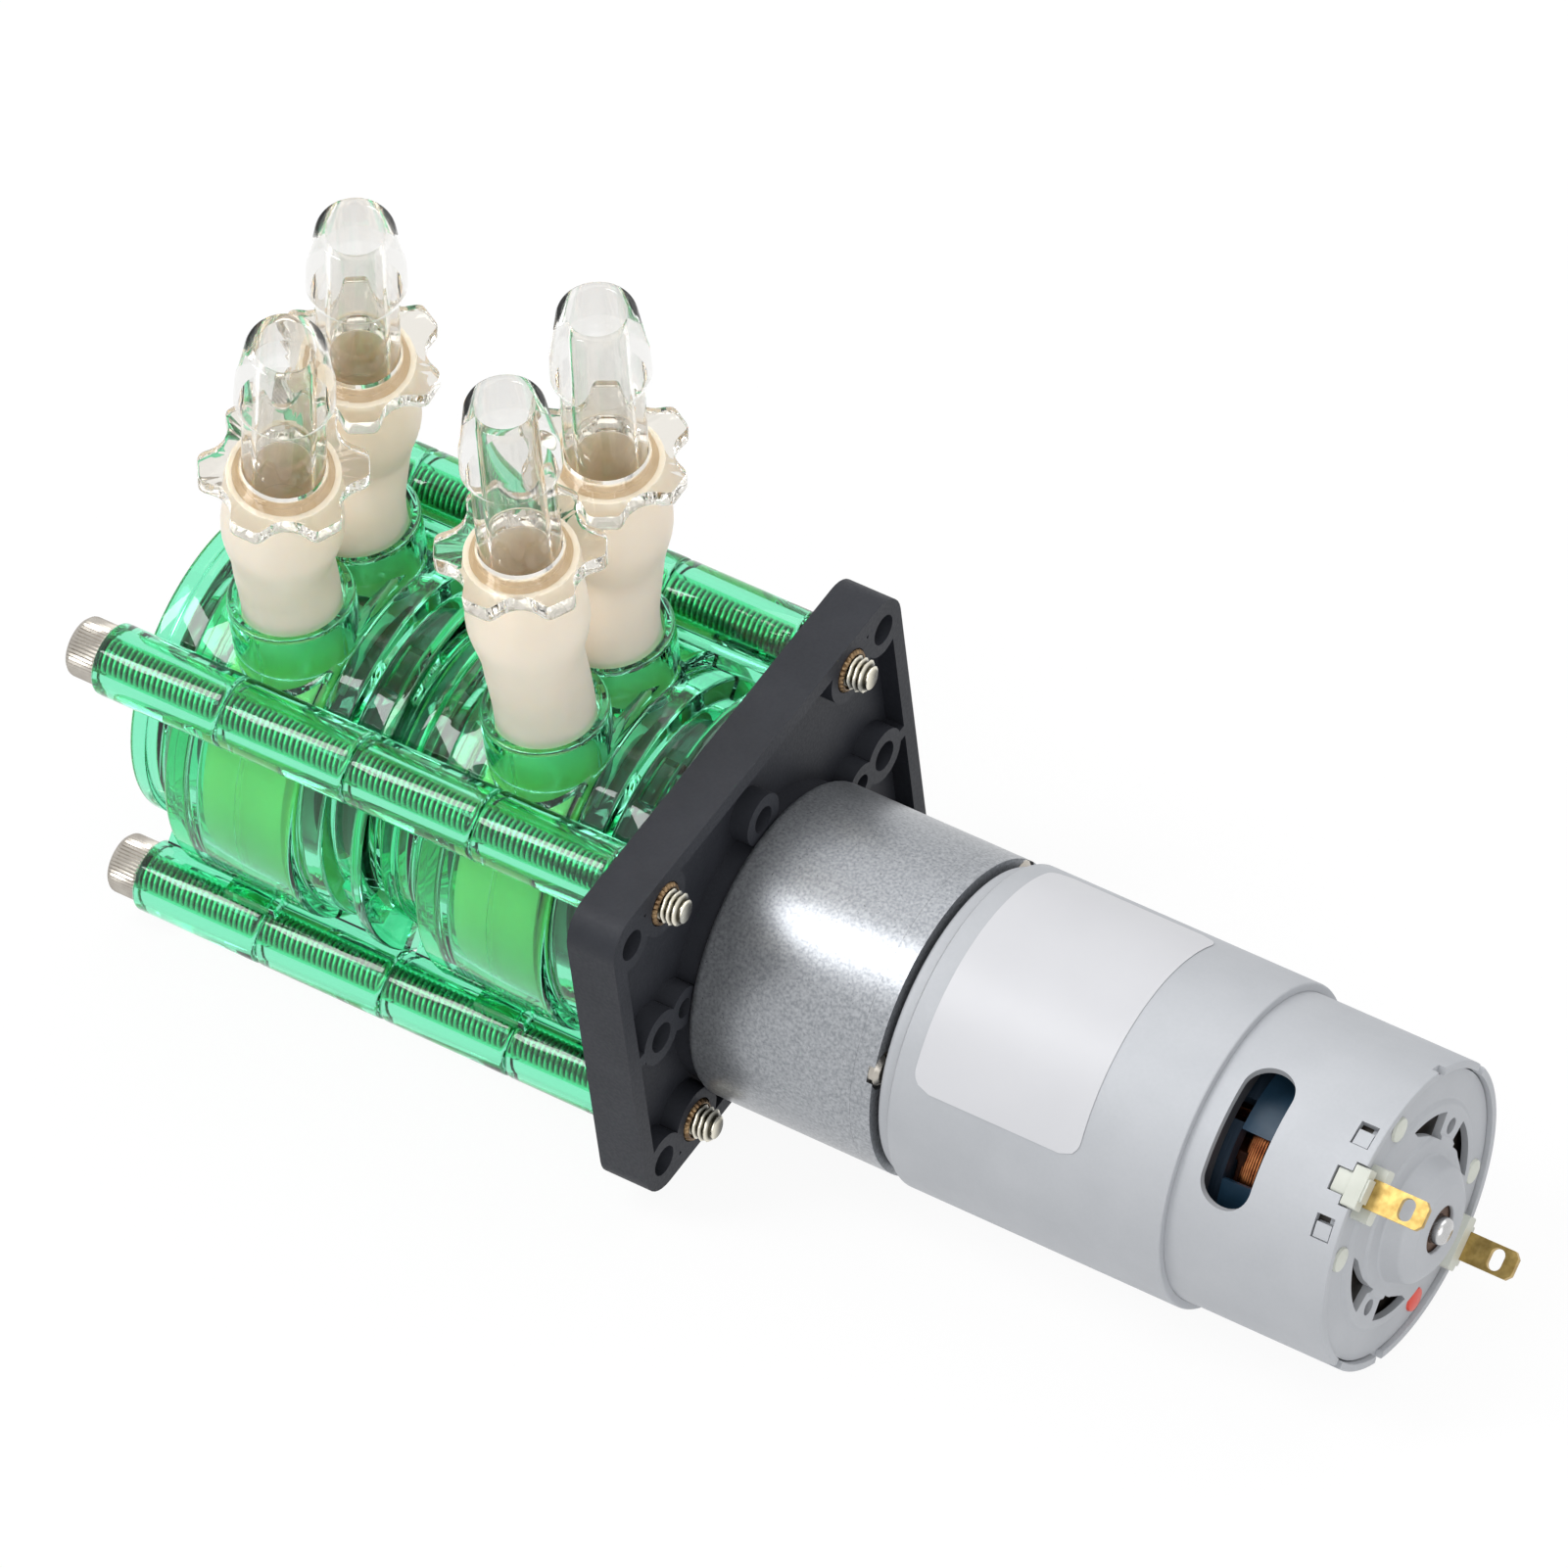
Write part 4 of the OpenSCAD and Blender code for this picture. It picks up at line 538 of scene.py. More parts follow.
front_shell = build_shell("front_shell", FRONT_BODY, FRONT_CAVITY, -HALF_LEN, 0, [])
rear_shell = build_shell("rear_shell", REAR_BODY, REAR_CAVITY, 0, HALF_LEN, clip_lugs)
for head, seam in SEAMS.items():
    for pattern, part in ((front_shell, "front"), (rear_shell, "rear")):
        name = "head_%d_%s_shell" % (head, part)
        mesh = pattern.data.copy()
        mesh.transform(Matrix.Translation((seam * MM, 0, 0)))
        finish_piece(place_object("clear_" + name, mesh), M["pump_green"], (name,), 28)
for pattern in (front_shell, rear_shell):
    bpy.data.objects.remove(pattern)


# ---------------------------------------------------------------- pump tubes and hose connectors
# Hose ends: offset from the seam, distance from the middle, height of the end, lean backwards and sideways
HOSE_ENDS = {1: [(1.7, -8.5, 53.1, 2, 0), (1.2, 8.5, 50.9, 3.5, 0)],
             2: [(3.4, -8.2, 48.9, 10.5, 3), (1.7, 8.9, 49, 8.5, 3)]}
# Radii of the roller path and the track, angle where the track starts, length of a connector's root, and the
# tube's outer radius, its radius over the root and its wall
TUBE_IN, TUBE_OUT = 15.5, 20.3
TUBE_MID = (TUBE_IN + TUBE_OUT) / 2
TRACK_START = math.radians(44)
ROOT = 12.5
TUBE_R, ROOT_R, WALL = 5.55, 4.5, 1.6


def unit(v):
    return v / np.linalg.norm(v, axis=-1, keepdims=True)


def lean(end):
    return unit(np.array([math.tan(math.radians(end[3])), -math.tan(math.radians(end[4])), 1.0]))


def cubic(a, b, c, d, t):
    t = t[:, None]
    return (1 - t) ** 3 * a + 3 * (1 - t) ** 2 * t * b + 3 * (1 - t) * t * t * c + t ** 3 * d


def tube_leg(end):
    """Centre line of one leg: straight along the connector's root, then two cubic curves through the port
    to the start of the track."""
    s = -1 if end[1] < 0 else 1
    top, v = np.array(end[:3], float), lean(end)
    q = top - (ROOT + 0.5) * v
    mouth = np.array([0, s * PORT_Y, PORT_Z])
    t = np.array([0, s * TUBE_MID * math.cos(TRACK_START), TUBE_MID * math.sin(TRACK_START)])
    into = np.array([0, s * math.sin(TRACK_START), -math.cos(TRACK_START)])
    down = np.array([0, 0, 1.0])
    return np.concatenate([top - np.arange(0, 12.6, 0.6)[:, None] * v,
                           cubic(q, q - 5 * v, mouth + 5 * down, mouth, np.arange(0, 12) / 12),
                           cubic(mouth, mouth - 8 * down, t - 5 * into, t, np.arange(0, 25) / 24)])


def pump_tube(ends):
    """Tube swept along its centre line. Its radius at an angle round the line is the smaller of the round
    radius and the room between roller path, track and port, once for the outer and once for the inner wall."""
    a = np.pi - TRACK_START + np.linspace(0, np.pi + 2 * TRACK_START, 90)[1:-1]
    path = np.concatenate([tube_leg(ends[0]), round_x(0, TUBE_MID, a), tube_leg(ends[1])[::-1]])
    along = unit(np.gradient(path, axis=0))
    side = unit(np.array([1.0, 0, 0]) - along[:, :1] * along)
    across = np.cross(along, side)
    is_left = path[:, 1] < 0
    tops = np.array([end[:3] for end in ends])
    from_end = np.linalg.norm(path - np.where(is_left[:, None], tops[0], tops[1]), axis=1)
    rise = np.clip(from_end / 9.0, 0, 1)
    fall = np.clip((from_end - 9.0) / 7.0, 0, 1)
    root = ROOT_R + 0.6 * rise ** 2 * (3 - 2 * rise) + WALL
    free = root + (TUBE_R - root) * fall ** 2 * (3 - 2 * fall)
    free = np.where(path[:, 2] < PORT_Z, TUBE_R, free)
    q = full_turn(48)[None, :]
    c, s = np.cos(q), np.sin(q)
    pn = (path[:, 1] * across[:, 1] + path[:, 2] * across[:, 2])[:, None]
    pp = (path[:, 1] ** 2 + path[:, 2] ** 2)[:, None]
    off = (path[:, 1] - np.sign(path[:, 1]) * PORT_Y)[:, None]
    ny = across[:, 1:2]

    def far(qa, qb, qc):
        """Larger root of qa r^2 + qb r + qc = 0: 0 where the start lies outside, 99 where nothing is hit."""
        spread = np.sqrt(np.maximum(qb * qb - 4 * qa * qc, 0))
        return np.where(qc > 0, 0, np.where(qa < 1e-6, 99, (-qb + spread) / np.maximum(2 * qa, 1e-9)))

    def room(thin):
        """Distance from the centre line to the roller path, the track, the sides or the port, less a layer."""
        disc = (2 * c * pn) ** 2 - 4 * c * c * (pp - (TUBE_IN + thin) ** 2)
        near = np.where((c < 0) & (c * c > 1e-6) & (disc >= 0) & (2 * c * pn <= 0),
                        (-2 * c * pn - np.sqrt(np.maximum(disc, 0))) / np.maximum(2 * c * c, 1e-9), 99)
        outer = far(c * c + 0 * pn, 2 * c * pn, pp - (TUBE_OUT - thin) ** 2)
        port_room = PORT_R - 0.1 - thin
        port = np.where(path[:, 2:3] < 8, 0,
                        far(c * c * ny * ny + s * s, 2 * c * ny * off, off * off - port_room ** 2 + 0 * c))
        flank = (5.65 - thin) / np.maximum(np.abs(s), 0.01)
        limit = np.minimum(near, np.maximum(np.minimum(outer, flank), port))
        return np.where(path[:, 2:3] > PORT_Z - 1, 99, limit)

    def wall(thin):
        r = np.minimum(free[:, None] - thin, room(thin))
        return path[:, None, :] + r[..., None] * (c[..., None] * across[:, None, :] + s[..., None] * side[:, None, :])

    skins = np.concatenate([wall(0.0), wall(WALL)[::-1]])
    return solid(skins, loop=True)


def lobed(theta):
    """Outline of the flange: a hexagon with a round scallop bitten out of every corner, softened a little."""
    apothem = 9.2
    corner = apothem / math.cos(math.pi / 6)
    bite = (corner - 3.8) / 2
    t = (theta + np.pi / 6) % (np.pi / 3) - np.pi / 6
    flat = apothem / np.cos(np.pi / 6 - np.abs(t))
    inside = bite ** 2 - (corner * np.sin(t)) ** 2
    scallop = np.where(inside > 0, corner * np.cos(t) - np.sqrt(np.maximum(inside, 0)), 99)
    r = np.minimum(flat, scallop)
    weights = np.array([1, 2, 3, 2, 1]) / 9
    return sum(w * np.roll(r, n - 2, 0) for n, w in enumerate(weights))


# Profiles as (radius, height), where a radius marked with LOBED is counted from the flange's outline
BARB = [(3.2, -12.1), (3.5, -12.5), (3.9, -12.5), (4.1, -12.3), (4.95, -9.2), (5.0, -9.0), (4.9, -8.8), (4.45, -8.2),
        (4.4, -8.0), (4.4, -0.2), (4.57, 0.0), (4.57, 2.9), (4.57, 14.4), (4.75, 14.6), (5.4, 15.3), (5.5, 15.5),
        (5.5, 15.7), (5.36, 18.4), (5.3, 18.65), (5.2, 18.9), (4.35, 24.8), (4.2, 25.1), (3.95, 25.2), (3.5, 25.2),
        (3.28, 25.1), (3.2, 24.8)]
LOBED = 1
FLANGE = [(4.62, 0.02), (-0.4, 0.02, LOBED), (-0.1, 0.12, LOBED), (0, 0.4, LOBED), (0, 2.0, LOBED), (-0.1, 2.3, LOBED),
          (-0.4, 2.4, LOBED), (5.3, 2.4), (4.9, 2.5), (4.62, 2.8)]


def at_head(part, head):
    """Moves a part made about a seam to its head."""
    return part[0] + [SEAMS[head], 0, 0], part[1]


def leaning(local, end):
    """Turns points made about the X axis upright, then to a hose end's lean, and moves them there."""
    turn = Vector((0, 0, 1)).rotation_difference(Vector(lean(end))).to_matrix()
    return local[..., [1, 2, 0]] @ np.array(turn).T + np.array(end[:3])


def hose_connector(ends, side, rows):
    """Barb or lobed flange as one turned surface: a row's radius, plus the lobed outline where it is marked."""
    end = ends[side]
    spin = math.atan2(ends[1][1] - ends[0][1], ends[1][0] - ends[0][0]) - math.pi / 2 + math.radians(30 * side)
    r, height, mark = np.array([(*row, 0)[:3] for row in rows]).T
    theta = full_turn(180)[:, None]
    return solid(leaning(round_x(height, r + mark * lobed(theta), theta + spin), end), loop=True)


for head, ends in HOSE_ENDS.items():
    make_piece("rubber_tube_%d" % head, [at_head(pump_tube(ends), head)], M["pump_tube"], ("tube_%d" % head,),
               50)
    for side, word in enumerate(("left", "right")):
        name = "connector_%d_%s" % (head, word)
        make_piece("barb_" + name, [at_head(hose_connector(ends, side, BARB), head)], M["connector_clear"],
                   (name,), 28)
        make_piece("flange_" + name, [at_head(hose_connector(ends, side, FLANGE), head)],
                   M["connector_flange"], (), 28)


def tube_end_ring(end):
    """Tan ring on the cut end of a tube, where the connector's root goes in: a low flat ring turned about the
    leaning axis of the connector."""
    profile = [(-0.2, 4.62), (-0.2, 5.45), (0.01, 5.45), (0.01, 4.62)]
    return solid(leaning(rings_round(profile, (0, 0), full_turn(64)), end), loop=True)


make_piece("tube_end_rings", [at_head(tube_end_ring(end), head) for head, ends in HOSE_ENDS.items() for end in ends],
           M["tube_end_tan"], (), 40)


# ---------------------------------------------------------------- long screws
def screw_thread(x0, x1, at, radius=1.98, depth=0.45, pitch=0.7, per_pitch=6, around=24):
    """Threaded rod, and how deep each point lies in the groove: the radius falls and rises in a triangle wave of
    x / pitch less the turn, and the tip tapers over its last 0.8 mm."""
    count = int((x1 - x0) / pitch * per_pitch)
    x = np.linspace(x0, x1, count)[:, None]
    a = full_turn(around)[None, :]
    groove = np.abs(2 * ((x / pitch - a / (2 * np.pi)) % 1.0) - 1)
    r = (radius - depth * groove) * (0.66 + 0.34 * np.clip((x1 - x) / 0.8, 0, 1))
    return solid(round_x(x, r, a, at)), groove.ravel()


def knurled_head(at, face=STACK_END - 4.0, seat=STACK_END):
    """Socket head: knurls are a zigzag on the radius, the edges are rounded, and the socket's hexagon is
    drawn on the same rows of angles."""
    count = 96
    a = full_turn(count)
    knurl = np.where(np.arange(count) % 2 == 0, 0.0, -0.16)
    six = 1.5 / np.cos((a + np.pi / 6) % (np.pi / 3) - np.pi / 6)
    rows = [(seat, 1.6), (seat, 3.2), (seat - 0.2, 3.4 + knurl), (seat - 0.4, 3.5 + knurl), (face + 0.75, 3.5 + knurl),
            (face + 0.45, 3.42 + knurl), (face + 0.3, 3.25), (face + 0.1, 3.1), (face, 2.9), (face, 2.0),
            (face + 0.2, six), (face + 2.4, six), (face + 2.5, six * 0.2)]
    return solid(np.stack([round_x(x, r, a, at) for x, r in rows]))


threads = [screw_thread(STACK_END - 0.5, SCREW_TIP, at) for at in CORNERS]
rods = make_piece("screw_threads", [part for part, _ in threads], M["thread_steel"], ("head_screws",),
                  70)
groove = rods.data.attributes.new("groove", "FLOAT", "POINT")
groove.data.foreach_set("value", np.concatenate([depth for _, depth in threads]))
make_piece("screw_heads", [knurled_head(at) for at in CORNERS], M["screw_steel"], (), 25)


# ---------------------------------------------------------------- plate, gearbox and motor
# Half sizes and thickness of the plate, depth of its pocket, and the places of its bosses
PLATE_Y, PLATE_Z, PLATE_T, POCKET = 28.5, 22.5, 6, 2.4
BOLT_AT = [(y, z) for y in (-25, 25) for z in (-18.5, 18.5)]
PINS_AT = [(-17.8, 0), (17.8, 0)]
SIDE_AT = [(-22.4, 0), (22.4, 0)]
TOP_AT = (0, 12.9)


def boss(at, radius, count=48):
    """Rod that keeps the plate's full thickness inside the pocket."""
    return disc_bar(at, radius, -PLATE_T, 2, count)


def rib(y0, y1, z0, z1):
    return bar(rectangle(y0, y1, z0, z1, 0), -PLATE_T, 2)


plate = loose_object("plate", *bar(rectangle(-PLATE_Y, PLATE_Y, -PLATE_Z, PLATE_Z, 4, 8), -PLATE_T, 0))
pocket = loose_object("pocket", *bar(rectangle(2 - PLATE_Y, PLATE_Y - 2, 2 - PLATE_Z, PLATE_Z - 2, 2, 6), -POCKET, 1))
bosses = [boss(at, 3.3) for at in BOLT_AT + SIDE_AT] + [boss(at, 3.9) for at in CORNERS]
bosses += [boss(at, 2.6) for at in PINS_AT] + [boss(TOP_AT, 3.1), boss(MOTOR_AT, 17.5, 96)]
# Ribs from the bosses at mid height to the rim, and between the corner bosses
bosses += [rib(min(0, s * 30), max(0, s * 30), -0.8, 0.8) for s in (-1, 1)]
bosses += [rib(s * 21.6 - 3, s * 21.6 + 3, e * 18.5 - 0.9, e * 18.5 + 0.9) for s in (-1, 1) for e in (-1, 1)]
combine(pocket, bosses, "DIFFERENCE")
points = np.empty(len(pocket.data.vertices) * 3)
pocket.data.vertices.foreach_get("co", points)
cuts = [(points.reshape(-1, 3) / MM, [list(face.vertices) for face in pocket.data.polygons])]
bpy.data.objects.remove(pocket)
cuts += [disc_bar(at, 1.8, -7, 1, 32) for at in BOLT_AT + SIDE_AT]
cuts += [disc_bar(at, 1.2, -5, 1, 24) for at in PINS_AT] + [disc_bar(TOP_AT, 1.6, -5, 1, 32)]
cuts += [disc_bar(at, 2.62, -4.5, 1, 40) for at in CORNERS] + [disc_bar(at, 2.2, -7, -4, 32) for at in CORNERS]
cuts += [disc_bar((0, 0), 6.1, -7, 1, 64)]
cuts += [turned([(-7, 17.45), (-4.6, 17.45), (-4.6, 16.05), (-7, 16.05)], count=96)]
combine(plate, cuts, "DIFFERENCE")
soften(finish_piece(plate, M["plate_charcoal"], ("mounting_plate",), 30), 0.18)


def knurled_insert(at):
    """Threaded insert: its rim is a zigzag between two radii, and its face stands just proud of the boss."""
    count, bore = 72, 2.05
    a = full_turn(count)
    rim = np.where(np.arange(count) % 3 == 0, 2.3, 2.52)
    rows = [(-4.4, bore), (-4.4, rim), (0.05, rim), (0.3, rim - 0.15), (0.4, 2.2), (0.4, bore)]
    return solid(np.stack([round_x(x, r, a, at) for x, r in rows]), loop=True)


make_piece("knurled_inserts", [knurled_insert(at) for at in CORNERS], M["insert_brass"], ("plate_inserts",),
           25)


def motor_turned(outline, count=160):
    """Ring turned about the motor axis."""
    return turned(outline, MOTOR_AT, count)


def wrapped(outline, r0, r1):
    """Prism with a flat outline (x, arc in degrees) bent round the motor axis between two radii."""
    return solid(round_x(outline[:, 0], np.array([[r0], [r1]]), np.radians(outline[:, 1]), MOTOR_AT))


def stadium(x, half, a0, a1, r=CAN_R, steps=22):
    """Outline of a long slot with round ends, as (x, angle): the ends are half circles of the slot's half width."""
    reach = math.degrees(half / r)
    b = np.linspace(0, np.pi, steps)
    c = np.linspace(a0 + reach, a1 - reach, 14)[1:-1]
    low = np.stack([x - half * np.cos(b), a0 + reach - reach * np.sin(b)], -1)
    high = np.stack([x + half * np.cos(b), a1 - reach + reach * np.sin(b)], -1)
    return np.concatenate([low, np.stack([x + half + 0 * c, c], -1), high, np.stack([x - half + 0 * c, c[::-1]], -1)])


def can_window(x0, x1, a0, a1):
    """Block that cuts a window through the can's wall between two places and two angles."""
    return sector([(x0, 15), (x1, 15), (x1, 21), (x0, 21)], MOTOR_AT, a0, a1)


can = loose_object("can", *motor_turned(fillet([
    (24.1, 3.62, 0), (24.1, CAN_R, 0.45), (CAN_END, CAN_R, 0.2), (CAN_END, 17.0, 0.1), (25.1, CAN_IN, 0),
    (25.1, 6, 0.2), (27.1, 6, 0.2), (27.1, 3.62, 0)])))
# Place, half width and angles of the slot that shows the armature, and middles of the small holes beside each
# terminal's notch, in degrees
SLOT_X, SLOT_HALF, SLOT_FROM, SLOT_TO = 66.0, 3.0, 94, 147.5
CRIMP_ANGLES = (103.5, 138.5)
PAST_END = CAN_END + 2
cuts = []
for half_turn in (0, 180):
    cuts.append(wrapped(stadium(SLOT_X, SLOT_HALF, SLOT_FROM + half_turn, SLOT_TO + half_turn), 15.2, 21))
    cuts += [can_window(76.9, 79.1, a - 4.4 + half_turn, a + 4.4 + half_turn) for a in CRIMP_ANGLES]
    cuts.append(can_window(76.9, PAST_END, 116.5 + half_turn, 125.5 + half_turn))
    cuts.append(can_window(78.7, PAST_END, 113 + half_turn, 129 + half_turn))
    cuts += [can_window(79.1, PAST_END, a + half_turn, a + 5 + half_turn) for a in (25, 60, 205)]
combine(can, cuts, "DIFFERENCE")
soften(finish_piece(can, M["plated_steel"], ("motor_can",), 30), 0.08)

# Tabs of the end plate, bent into the can's small holes
TAB = [(77.1, 16.6), (78.95, 16.6), (78.95, 17.75), (77.1, 17.75)]
make_piece("crimp_tabs", [sector(TAB, MOTOR_AT, a - 1.6 + half_turn, a + 4.1 + half_turn)
                          for half_turn in (0, 180) for a in CRIMP_ANGLES], M["plated_steel"], (), 30)

ring = loose_object("ring", *motor_turned(fillet([(25.9, CAN_R + 0.03, 0), (25.9, RING_R, 0.3), (60.3, RING_R, 0.25),
                                                  (60.3, CAN_R + 0.03, 0)])))
combine(ring, [bar(rectangle(-0.12, 0.12, -30, MOTOR_Z, 0), 20, 65)], "DIFFERENCE")
finish_piece(ring, M["plated_steel"], ("flux_ring",), 30)

end_disc = loose_object("end_disc", *motor_turned(fillet([
    (79.1, 3.65, 0), (79.1, 14.8, 0), (78.2, 15.0, 0), (78.2, 16.8, 0), (79.35, 16.8, 0), (79.5, 13.4, 0.4),
    (79.95, 12.9, 0.4), (79.95, 9.6, 0.2), (80.3, 9.3, 0.15), (80.45, 7.4, 0.4), (82.6, 6.7, 0.9),
    (83.75, 5.2, 0.5), (83.75, 2.75, 0.2), (83.3, 2.75, 0), (83.3, 3.65, 0)])))


def vent(a_point, a_flat, steps=12):
    """Crescent vent as (angle, radius): the outer edge keeps its radius, and the inner edge falls away from it
    with the square root of the share of the way from the pointed end to the flat end."""
    share = np.linspace(0, 1, steps)
    a = np.radians(a_point + (a_flat - a_point) * share)
    outer, inner = 12.0 + 0 * a, 11.9 - 3.0 * np.sqrt(share)
    a, r = np.concatenate([a, a[::-1]]), np.concatenate([outer, inner[::-1]])
    return bar(round_x(0, r, a, MOTOR_AT)[:, 1:], 76, 84)


def on_end(radius, angle):
    """Point (y, z) at a radius and an angle in degrees round the motor axis."""
    return round_x(0, radius, math.radians(angle), MOTOR_AT)[1:]


cuts = []
for b in BRUSH_ANGLES:
    cuts += [vent(b - 56, b - 13), vent(b + 48, b + 13), disc_bar(on_end(10.6, b), 0.95, 76, 84, 24)]
combine(end_disc, cuts, "DIFFERENCE")
finish_piece(end_disc, M["plated_steel"], ("motor_end_plate",), 30)

# Card of the brush holders, which shows dark behind the vents
make_piece("brush_card", [motor_turned(fillet([(77.2, 5.0, 0), (77.9, 5.0, 0), (77.9, 16.7, 0.2), (77.2, 16.7, 0)]))],
           M["holder_brown"], (), 40)


def rivet(angle):
    """Flat pad of melted plastic: a low turned dome on the end plate."""
    return turned([(78.6, 0.01), (78.6, 1.1), (79.45, 1.1), (79.45, 1.45), (79.75, 1.35), (79.9, 0.9), (79.92, 0.01)],
                  on_end(14.6, angle), 32)


make_piece("plastic_rivets", [rivet(a) for a in (90, 152, 332)], M["nylon_white"], ("end_plate_rivets",),
           40)
make_piece("red_rivet", [rivet(270)], M["rivet_red"], (), 40)


def spun(part, angle):
    """Moves a part made with its length on X, outwards on Y and width on Z to an angle round the motor axis."""
    points, faces = part
    a = math.radians(angle)
    out_way, round_way = np.array([0, math.cos(a), math.sin(a)]), np.array([0, -math.sin(a), math.cos(a)])
    placed = points[:, :1] * np.array([1, 0, 0]) + points[:, 1:2] * out_way + points[:, 2:] * round_way
    return outward(placed + np.array([0, 0, MOTOR_Z]), faces)


# Outline and hole of a terminal as (x, width), which bar drives outwards, and the blocks of its insulator
BLADE = [(75.0, -1.05, 0), (80.1, -1.05, 0), (80.1, -1.65, 0.2), (87.0, -1.65, 0.2), (87.6, -1.0, 0.2),
         (87.6, 1.0, 0.2), (87.0, 1.65, 0.2), (80.1, 1.65, 0.2), (80.1, 1.05, 0), (75.0, 1.05, 0)]
BLADE_HOLE = [(84.4, -1.25, 0.75), (86.1, -1.25, 0.75), (86.1, 1.25, 0.75), (84.4, 1.25, 0.75)]
OUT_FIRST = ((0, 1, 0), (1, 0, 0), (0, 0, 1))
for n, angle in enumerate(LUG_ANGLES):
    lug = loose_object("lug", *spun(bar(fillet(BLADE, 3), 15.0, 15.8, OUT_FIRST), angle))
    combine(lug, [spun(bar(fillet(BLADE_HOLE, 5), 14, 17, OUT_FIRST), angle)], "DIFFERENCE")
    soften(finish_piece(lug, M["brass"], ("terminals",) if n == 0 else (), 30), 0.07)
    lug.name = "brass_lug_%d" % n
    block = loose_object("block", *spun(bar(rectangle(13.0, 14.95, -3.1, 3.1, 0.4), 78.3, 81.4), angle))
    combine(block, [spun(bar(rectangle(14.5, 17.6, -1.35, 1.35, 0.3), 77.1, 80.9), angle),
                    spun(bar(rectangle(15.9, 17.75, -2.3, 2.3, 0.3), 78.8, 80.6), angle)], "UNION")
    combine(block, [spun(bar(rectangle(14.97, 15.83, -1.68, 1.68, 0), 76, 83), angle)], "DIFFERENCE")
    soften(finish_piece(block, M["nylon_white"], ("terminal_insulators",) if n == 0 else (),
                        30), 0.1)
    block.name = "insulator_block_%d" % n

# Hidden and plain pieces keep the CAD's form with merged, smooth faces
plain = {"gearbox_housing": 0, "gearbox_cover": 0.2, "cover_screws": 0, "armature_core": 0, "commutator": 0,
         "motor_bushes": 0.1, "brush_holders": 0.1, "brushes": 0, "magnets": 0}
for node_name in frame["nodes"]:
    if node_name.startswith("r") or "bushes" in node_name:
        plain.setdefault(node_name, 0)
for node_name, bevel in plain.items():
    cad_copy(node_name, M[slots[node_name]], bevel)

# Motor shaft with a domed end, wires and coil heads of the armature
shaft_x0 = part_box("motor_shaft")[0][0] / MM
SHAFT = [(shaft_x0, 0.01, 0), (shaft_x0, 1.6, 0.2), (84.6, 1.6, 0.7), (84.9, 0.01, 0)]
make_piece("domed_shaft", [motor_turned(fillet(SHAFT), 40)], M["shaft_steel"], ("motor_shaft",), 40,
           "armature")


def wire(line, side, across, radius, count=6):
    """Thin wire swept along a centre line, with a round section drawn on two axes across it."""
    q = full_turn(count)[None, :, None]
    return solid(line[:, None, :] + radius * (np.cos(q) * side[:, None, :] + np.sin(q) * across[:, None, :]))


def coil_wires(pole, core_x0, core_x1):
    """Wires of one armature coil: each turn is a rounded loop round the pole's arm, with the square root of the
    cosine and sine along and across, and the turns lie beside each other outwards."""
    turns, per_turn = 14, 28
    t = np.linspace(0, turns, turns * per_turn + 1)
    a = 2 * np.pi * t
    half_x, half_w = (core_x1 - core_x0) / 2 + 2.5, 2.7
    u = np.sign(np.cos(a)) * np.sqrt(np.abs(np.cos(a))) * half_x
    w = np.sign(np.sin(a)) * np.sqrt(np.abs(np.sin(a))) * half_w
    r = 6.4 + 3.9 * t / turns
    line = np.stack([(core_x0 + core_x1) / 2 + u, r, w], -1)
    along = unit(np.gradient(line, axis=0))
    side = unit(np.array([0, 1.0, 0]) - along[:, 1:2] * along)
    return spun(wire(line, side, np.cross(along, side), 0.17), pole)


core_low, core_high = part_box("armature_core")
core_from, core_to = core_low[0] / MM + 0.2, core_high[0] / MM - 0.2
make_piece("coil_wires", [coil_wires(90 + 72 * k, core_from, core_to) for k in range(5)], M["copper"], (),
           60, "armature")
cad_copy("armature_windings", M["copper_dark"], 0.3)
# Blue insulating petals at the end of each pole, which hold the coil heads
PETAL = [(core_to, 12.5), (core_to + 4.4, 12.1), (core_to + 4.4, 12.6), (core_to, 13.1)]
make_piece("pole_petals", [sector(PETAL, MOTOR_AT, 70 + 72 * k, 117 + 72 * k) for k in range(5)],
           M["winding_blue"], (), 30, "armature")


def coil_heads(x0, x1, turns=13):
    """Wires that run round the shaft at the core's end: a helix from x0 to x1 on a bulging bundle, whose radius
    is 9.4 + 2.1 sqrt(sin(pi s)) at the share s of its length."""
    s = np.linspace(0, 1, turns * 60)
    a = 2 * np.pi * turns * s
    r = 9.4 + 2.1 * np.sqrt(np.sin(np.pi * s))
    line, out_way = round_x(x0 + (x1 - x0) * s, r, a, MOTOR_AT), round_x(0, 1, a)
    return wire(line, out_way, np.cross(unit(np.gradient(line, axis=0)), out_way), 0.16)


make_piece("coil_heads", [coil_heads(core_to + 0.3, core_to + 4.6)], M["copper"], (), 60, "armature")


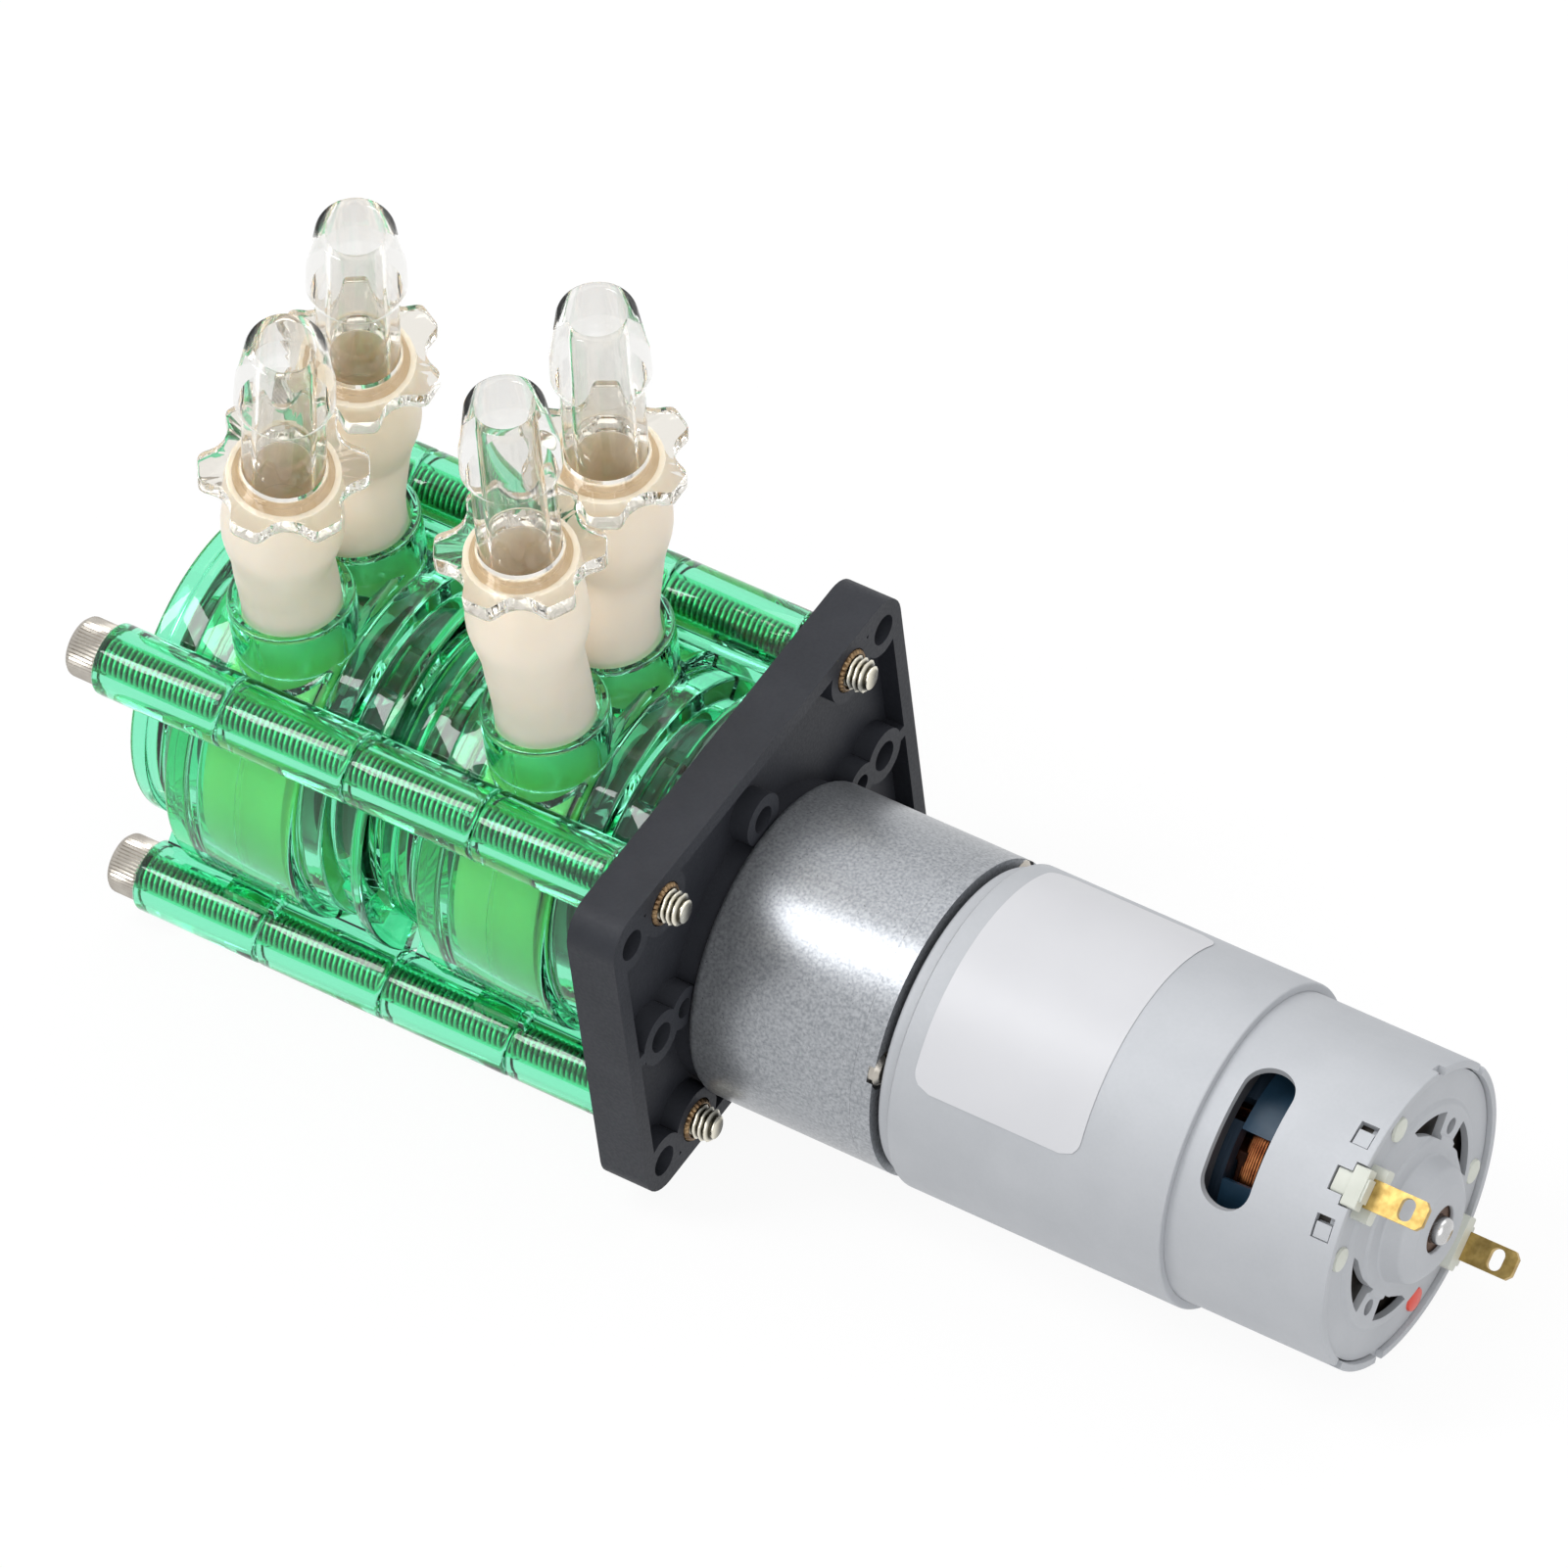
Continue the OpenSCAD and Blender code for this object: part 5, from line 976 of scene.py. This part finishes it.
def blank_label():
    """Paper label bent round the flux ring: a flat sheet with rounded corners, wrapped by turning its width
    into an angle about the motor axis."""
    r, x0, x1, a0, a1, corner = RING_R + 0.05, 28.4, 49.2, 46.0, 151.0, 2.2
    across = np.radians(np.linspace(a0, a1, 60)) * r
    edge = np.minimum(across - across[0], across[-1] - across)
    inset = np.where(edge < corner, corner - np.sqrt(np.maximum(corner ** 2 - (corner - edge) ** 2, 0)), 0)
    along = np.linspace(0, 1, 12)
    x = (x0 + inset)[:, None] + (x1 - x0 - 2 * inset)[:, None] * along[None, :]
    face, back = (round_x(x, h, (across / r)[:, None], MOTOR_AT) for h in (r + 0.06, r + 0.01))
    return solid(np.concatenate([face, back[:, ::-1]], axis=1))


make_piece("blank_label", [blank_label()], M["label_white"], (), 40)


# ---------------------------------------------------------------- floor, lights and camera
def seen_share(n):
    """1 for camera, mirror and transmission rays, which see a white studio, and 0 for the rest."""
    path = n.add("ShaderNodeLightPath").outputs
    seen = n.add("ShaderNodeMath", {0: path["Is Camera Ray"], 1: path["Is Glossy Ray"]}, operation="MAXIMUM")
    return n.add("ShaderNodeMath", {0: seen.outputs[0], 1: path["Is Transmission Ray"]}, operation="MAXIMUM").outputs[0]


def floor_material():
    """White where it is seen, with 8 % of the plain lit colour for the object's shadow."""
    material, n, _ = new_material("studio_floor")
    n.tree.nodes.clear()
    part = n.add("ShaderNodeMath", {0: seen_share(n), 1: 0.92}, operation="MULTIPLY")
    plain = n.add("ShaderNodeBsdfDiffuse", {"Color": (0.9, 0.9, 0.9, 1)})
    white = n.add("ShaderNodeEmission", {"Color": (1, 1, 1, 1), "Strength": 1.0})
    mix = n.add("ShaderNodeMixShader", {0: part.outputs[0], 1: plain.outputs[0], 2: white.outputs[0]})
    n.add("ShaderNodeOutputMaterial", {"Surface": mix.outputs[0]})
    return material


FLOOR_Z, FLOOR = cad_box[0][2] / MM - 0.2, 4000.0
floor = loose_object("studio_floor", np.array([(x * FLOOR, y * FLOOR, FLOOR_Z)
                                               for x, y in ((-1, -1), (1, -1), (1, 1), (-1, 1))]), [[0, 1, 2, 3]])
floor.data.materials.append(floor_material())

world = bpy.data.worlds.new("studio")
bpy.context.scene.world = world
world.use_nodes = True
w = Nodes(world.node_tree)
world.node_tree.nodes.clear()
back = w.add("ShaderNodeBackground", {"Color": (1, 1, 1, 1), "Strength": w.remap(seen_share(w), 0, 1, 0.55, 1.0)})
w.add("ShaderNodeOutputWorld", {"Surface": back.outputs[0]})


def area_light(name, place, target, size, power, size_y=None):
    """Rectangular lamp at a place in metres, turned to a target."""
    data = bpy.data.lights.new(name, "AREA")
    data.shape = "RECTANGLE"
    data.size, data.size_y = size, size_y or size
    data.energy = power
    lamp = place_object(name, data)
    lamp.location = place
    lamp.rotation_euler = (Vector(target) - Vector(place)).to_track_quat("-Z", "Y").to_euler()


area_light("key", (-0.35, -0.25, 0.75), (0, 0, 0), 0.2, 3.5, 0.6)
area_light("fill", (0.6, -0.5, 0.5), (0.03, 0, 0), 0.9, 3.0)
area_light("top", (0.1, 0.5, 0.8), (0, 0, 0), 0.9, 3.0)

# Camera fitted to the photo: directions of its right and up, scale at the origin, and distance and shifts in mm
right = Vector((0.8384, 0.5383, -0.0863)).normalized()
up = Vector((-0.3679, 0.6755, 0.6391))
up = (up - up.dot(right) * right).normalized()
back_way = right.cross(up)
camera_data = bpy.data.cameras.new("photo_camera")
camera = place_object("photo_camera", camera_data)
PHOTO_PX, PX_PER_MM, DISTANCE, SENSOR = 1601, 9.44, 1534.458, 36.0
camera_data.sensor_width = SENSOR
camera_data.lens = SENSOR * PX_PER_MM * DISTANCE / PHOTO_PX
camera_data.clip_start, camera_data.clip_end = 0.05, 20.0
place = (back_way * DISTANCE + right * 1.11 + up * 12.08) * MM
camera.matrix_world = Matrix.Translation(place) @ Matrix((right, up, back_way)).transposed().to_4x4()
bpy.context.scene.camera = camera

scene = bpy.context.scene
scene.view_settings.view_transform = "Standard"
scene.cycles.max_bounces = 24
scene.cycles.transmission_bounces = 24
scene.cycles.glossy_bounces = 8
scene.cycles.transparent_max_bounces = 16
scene.cycles.use_denoising = True

bpy.context.view_layer.update()
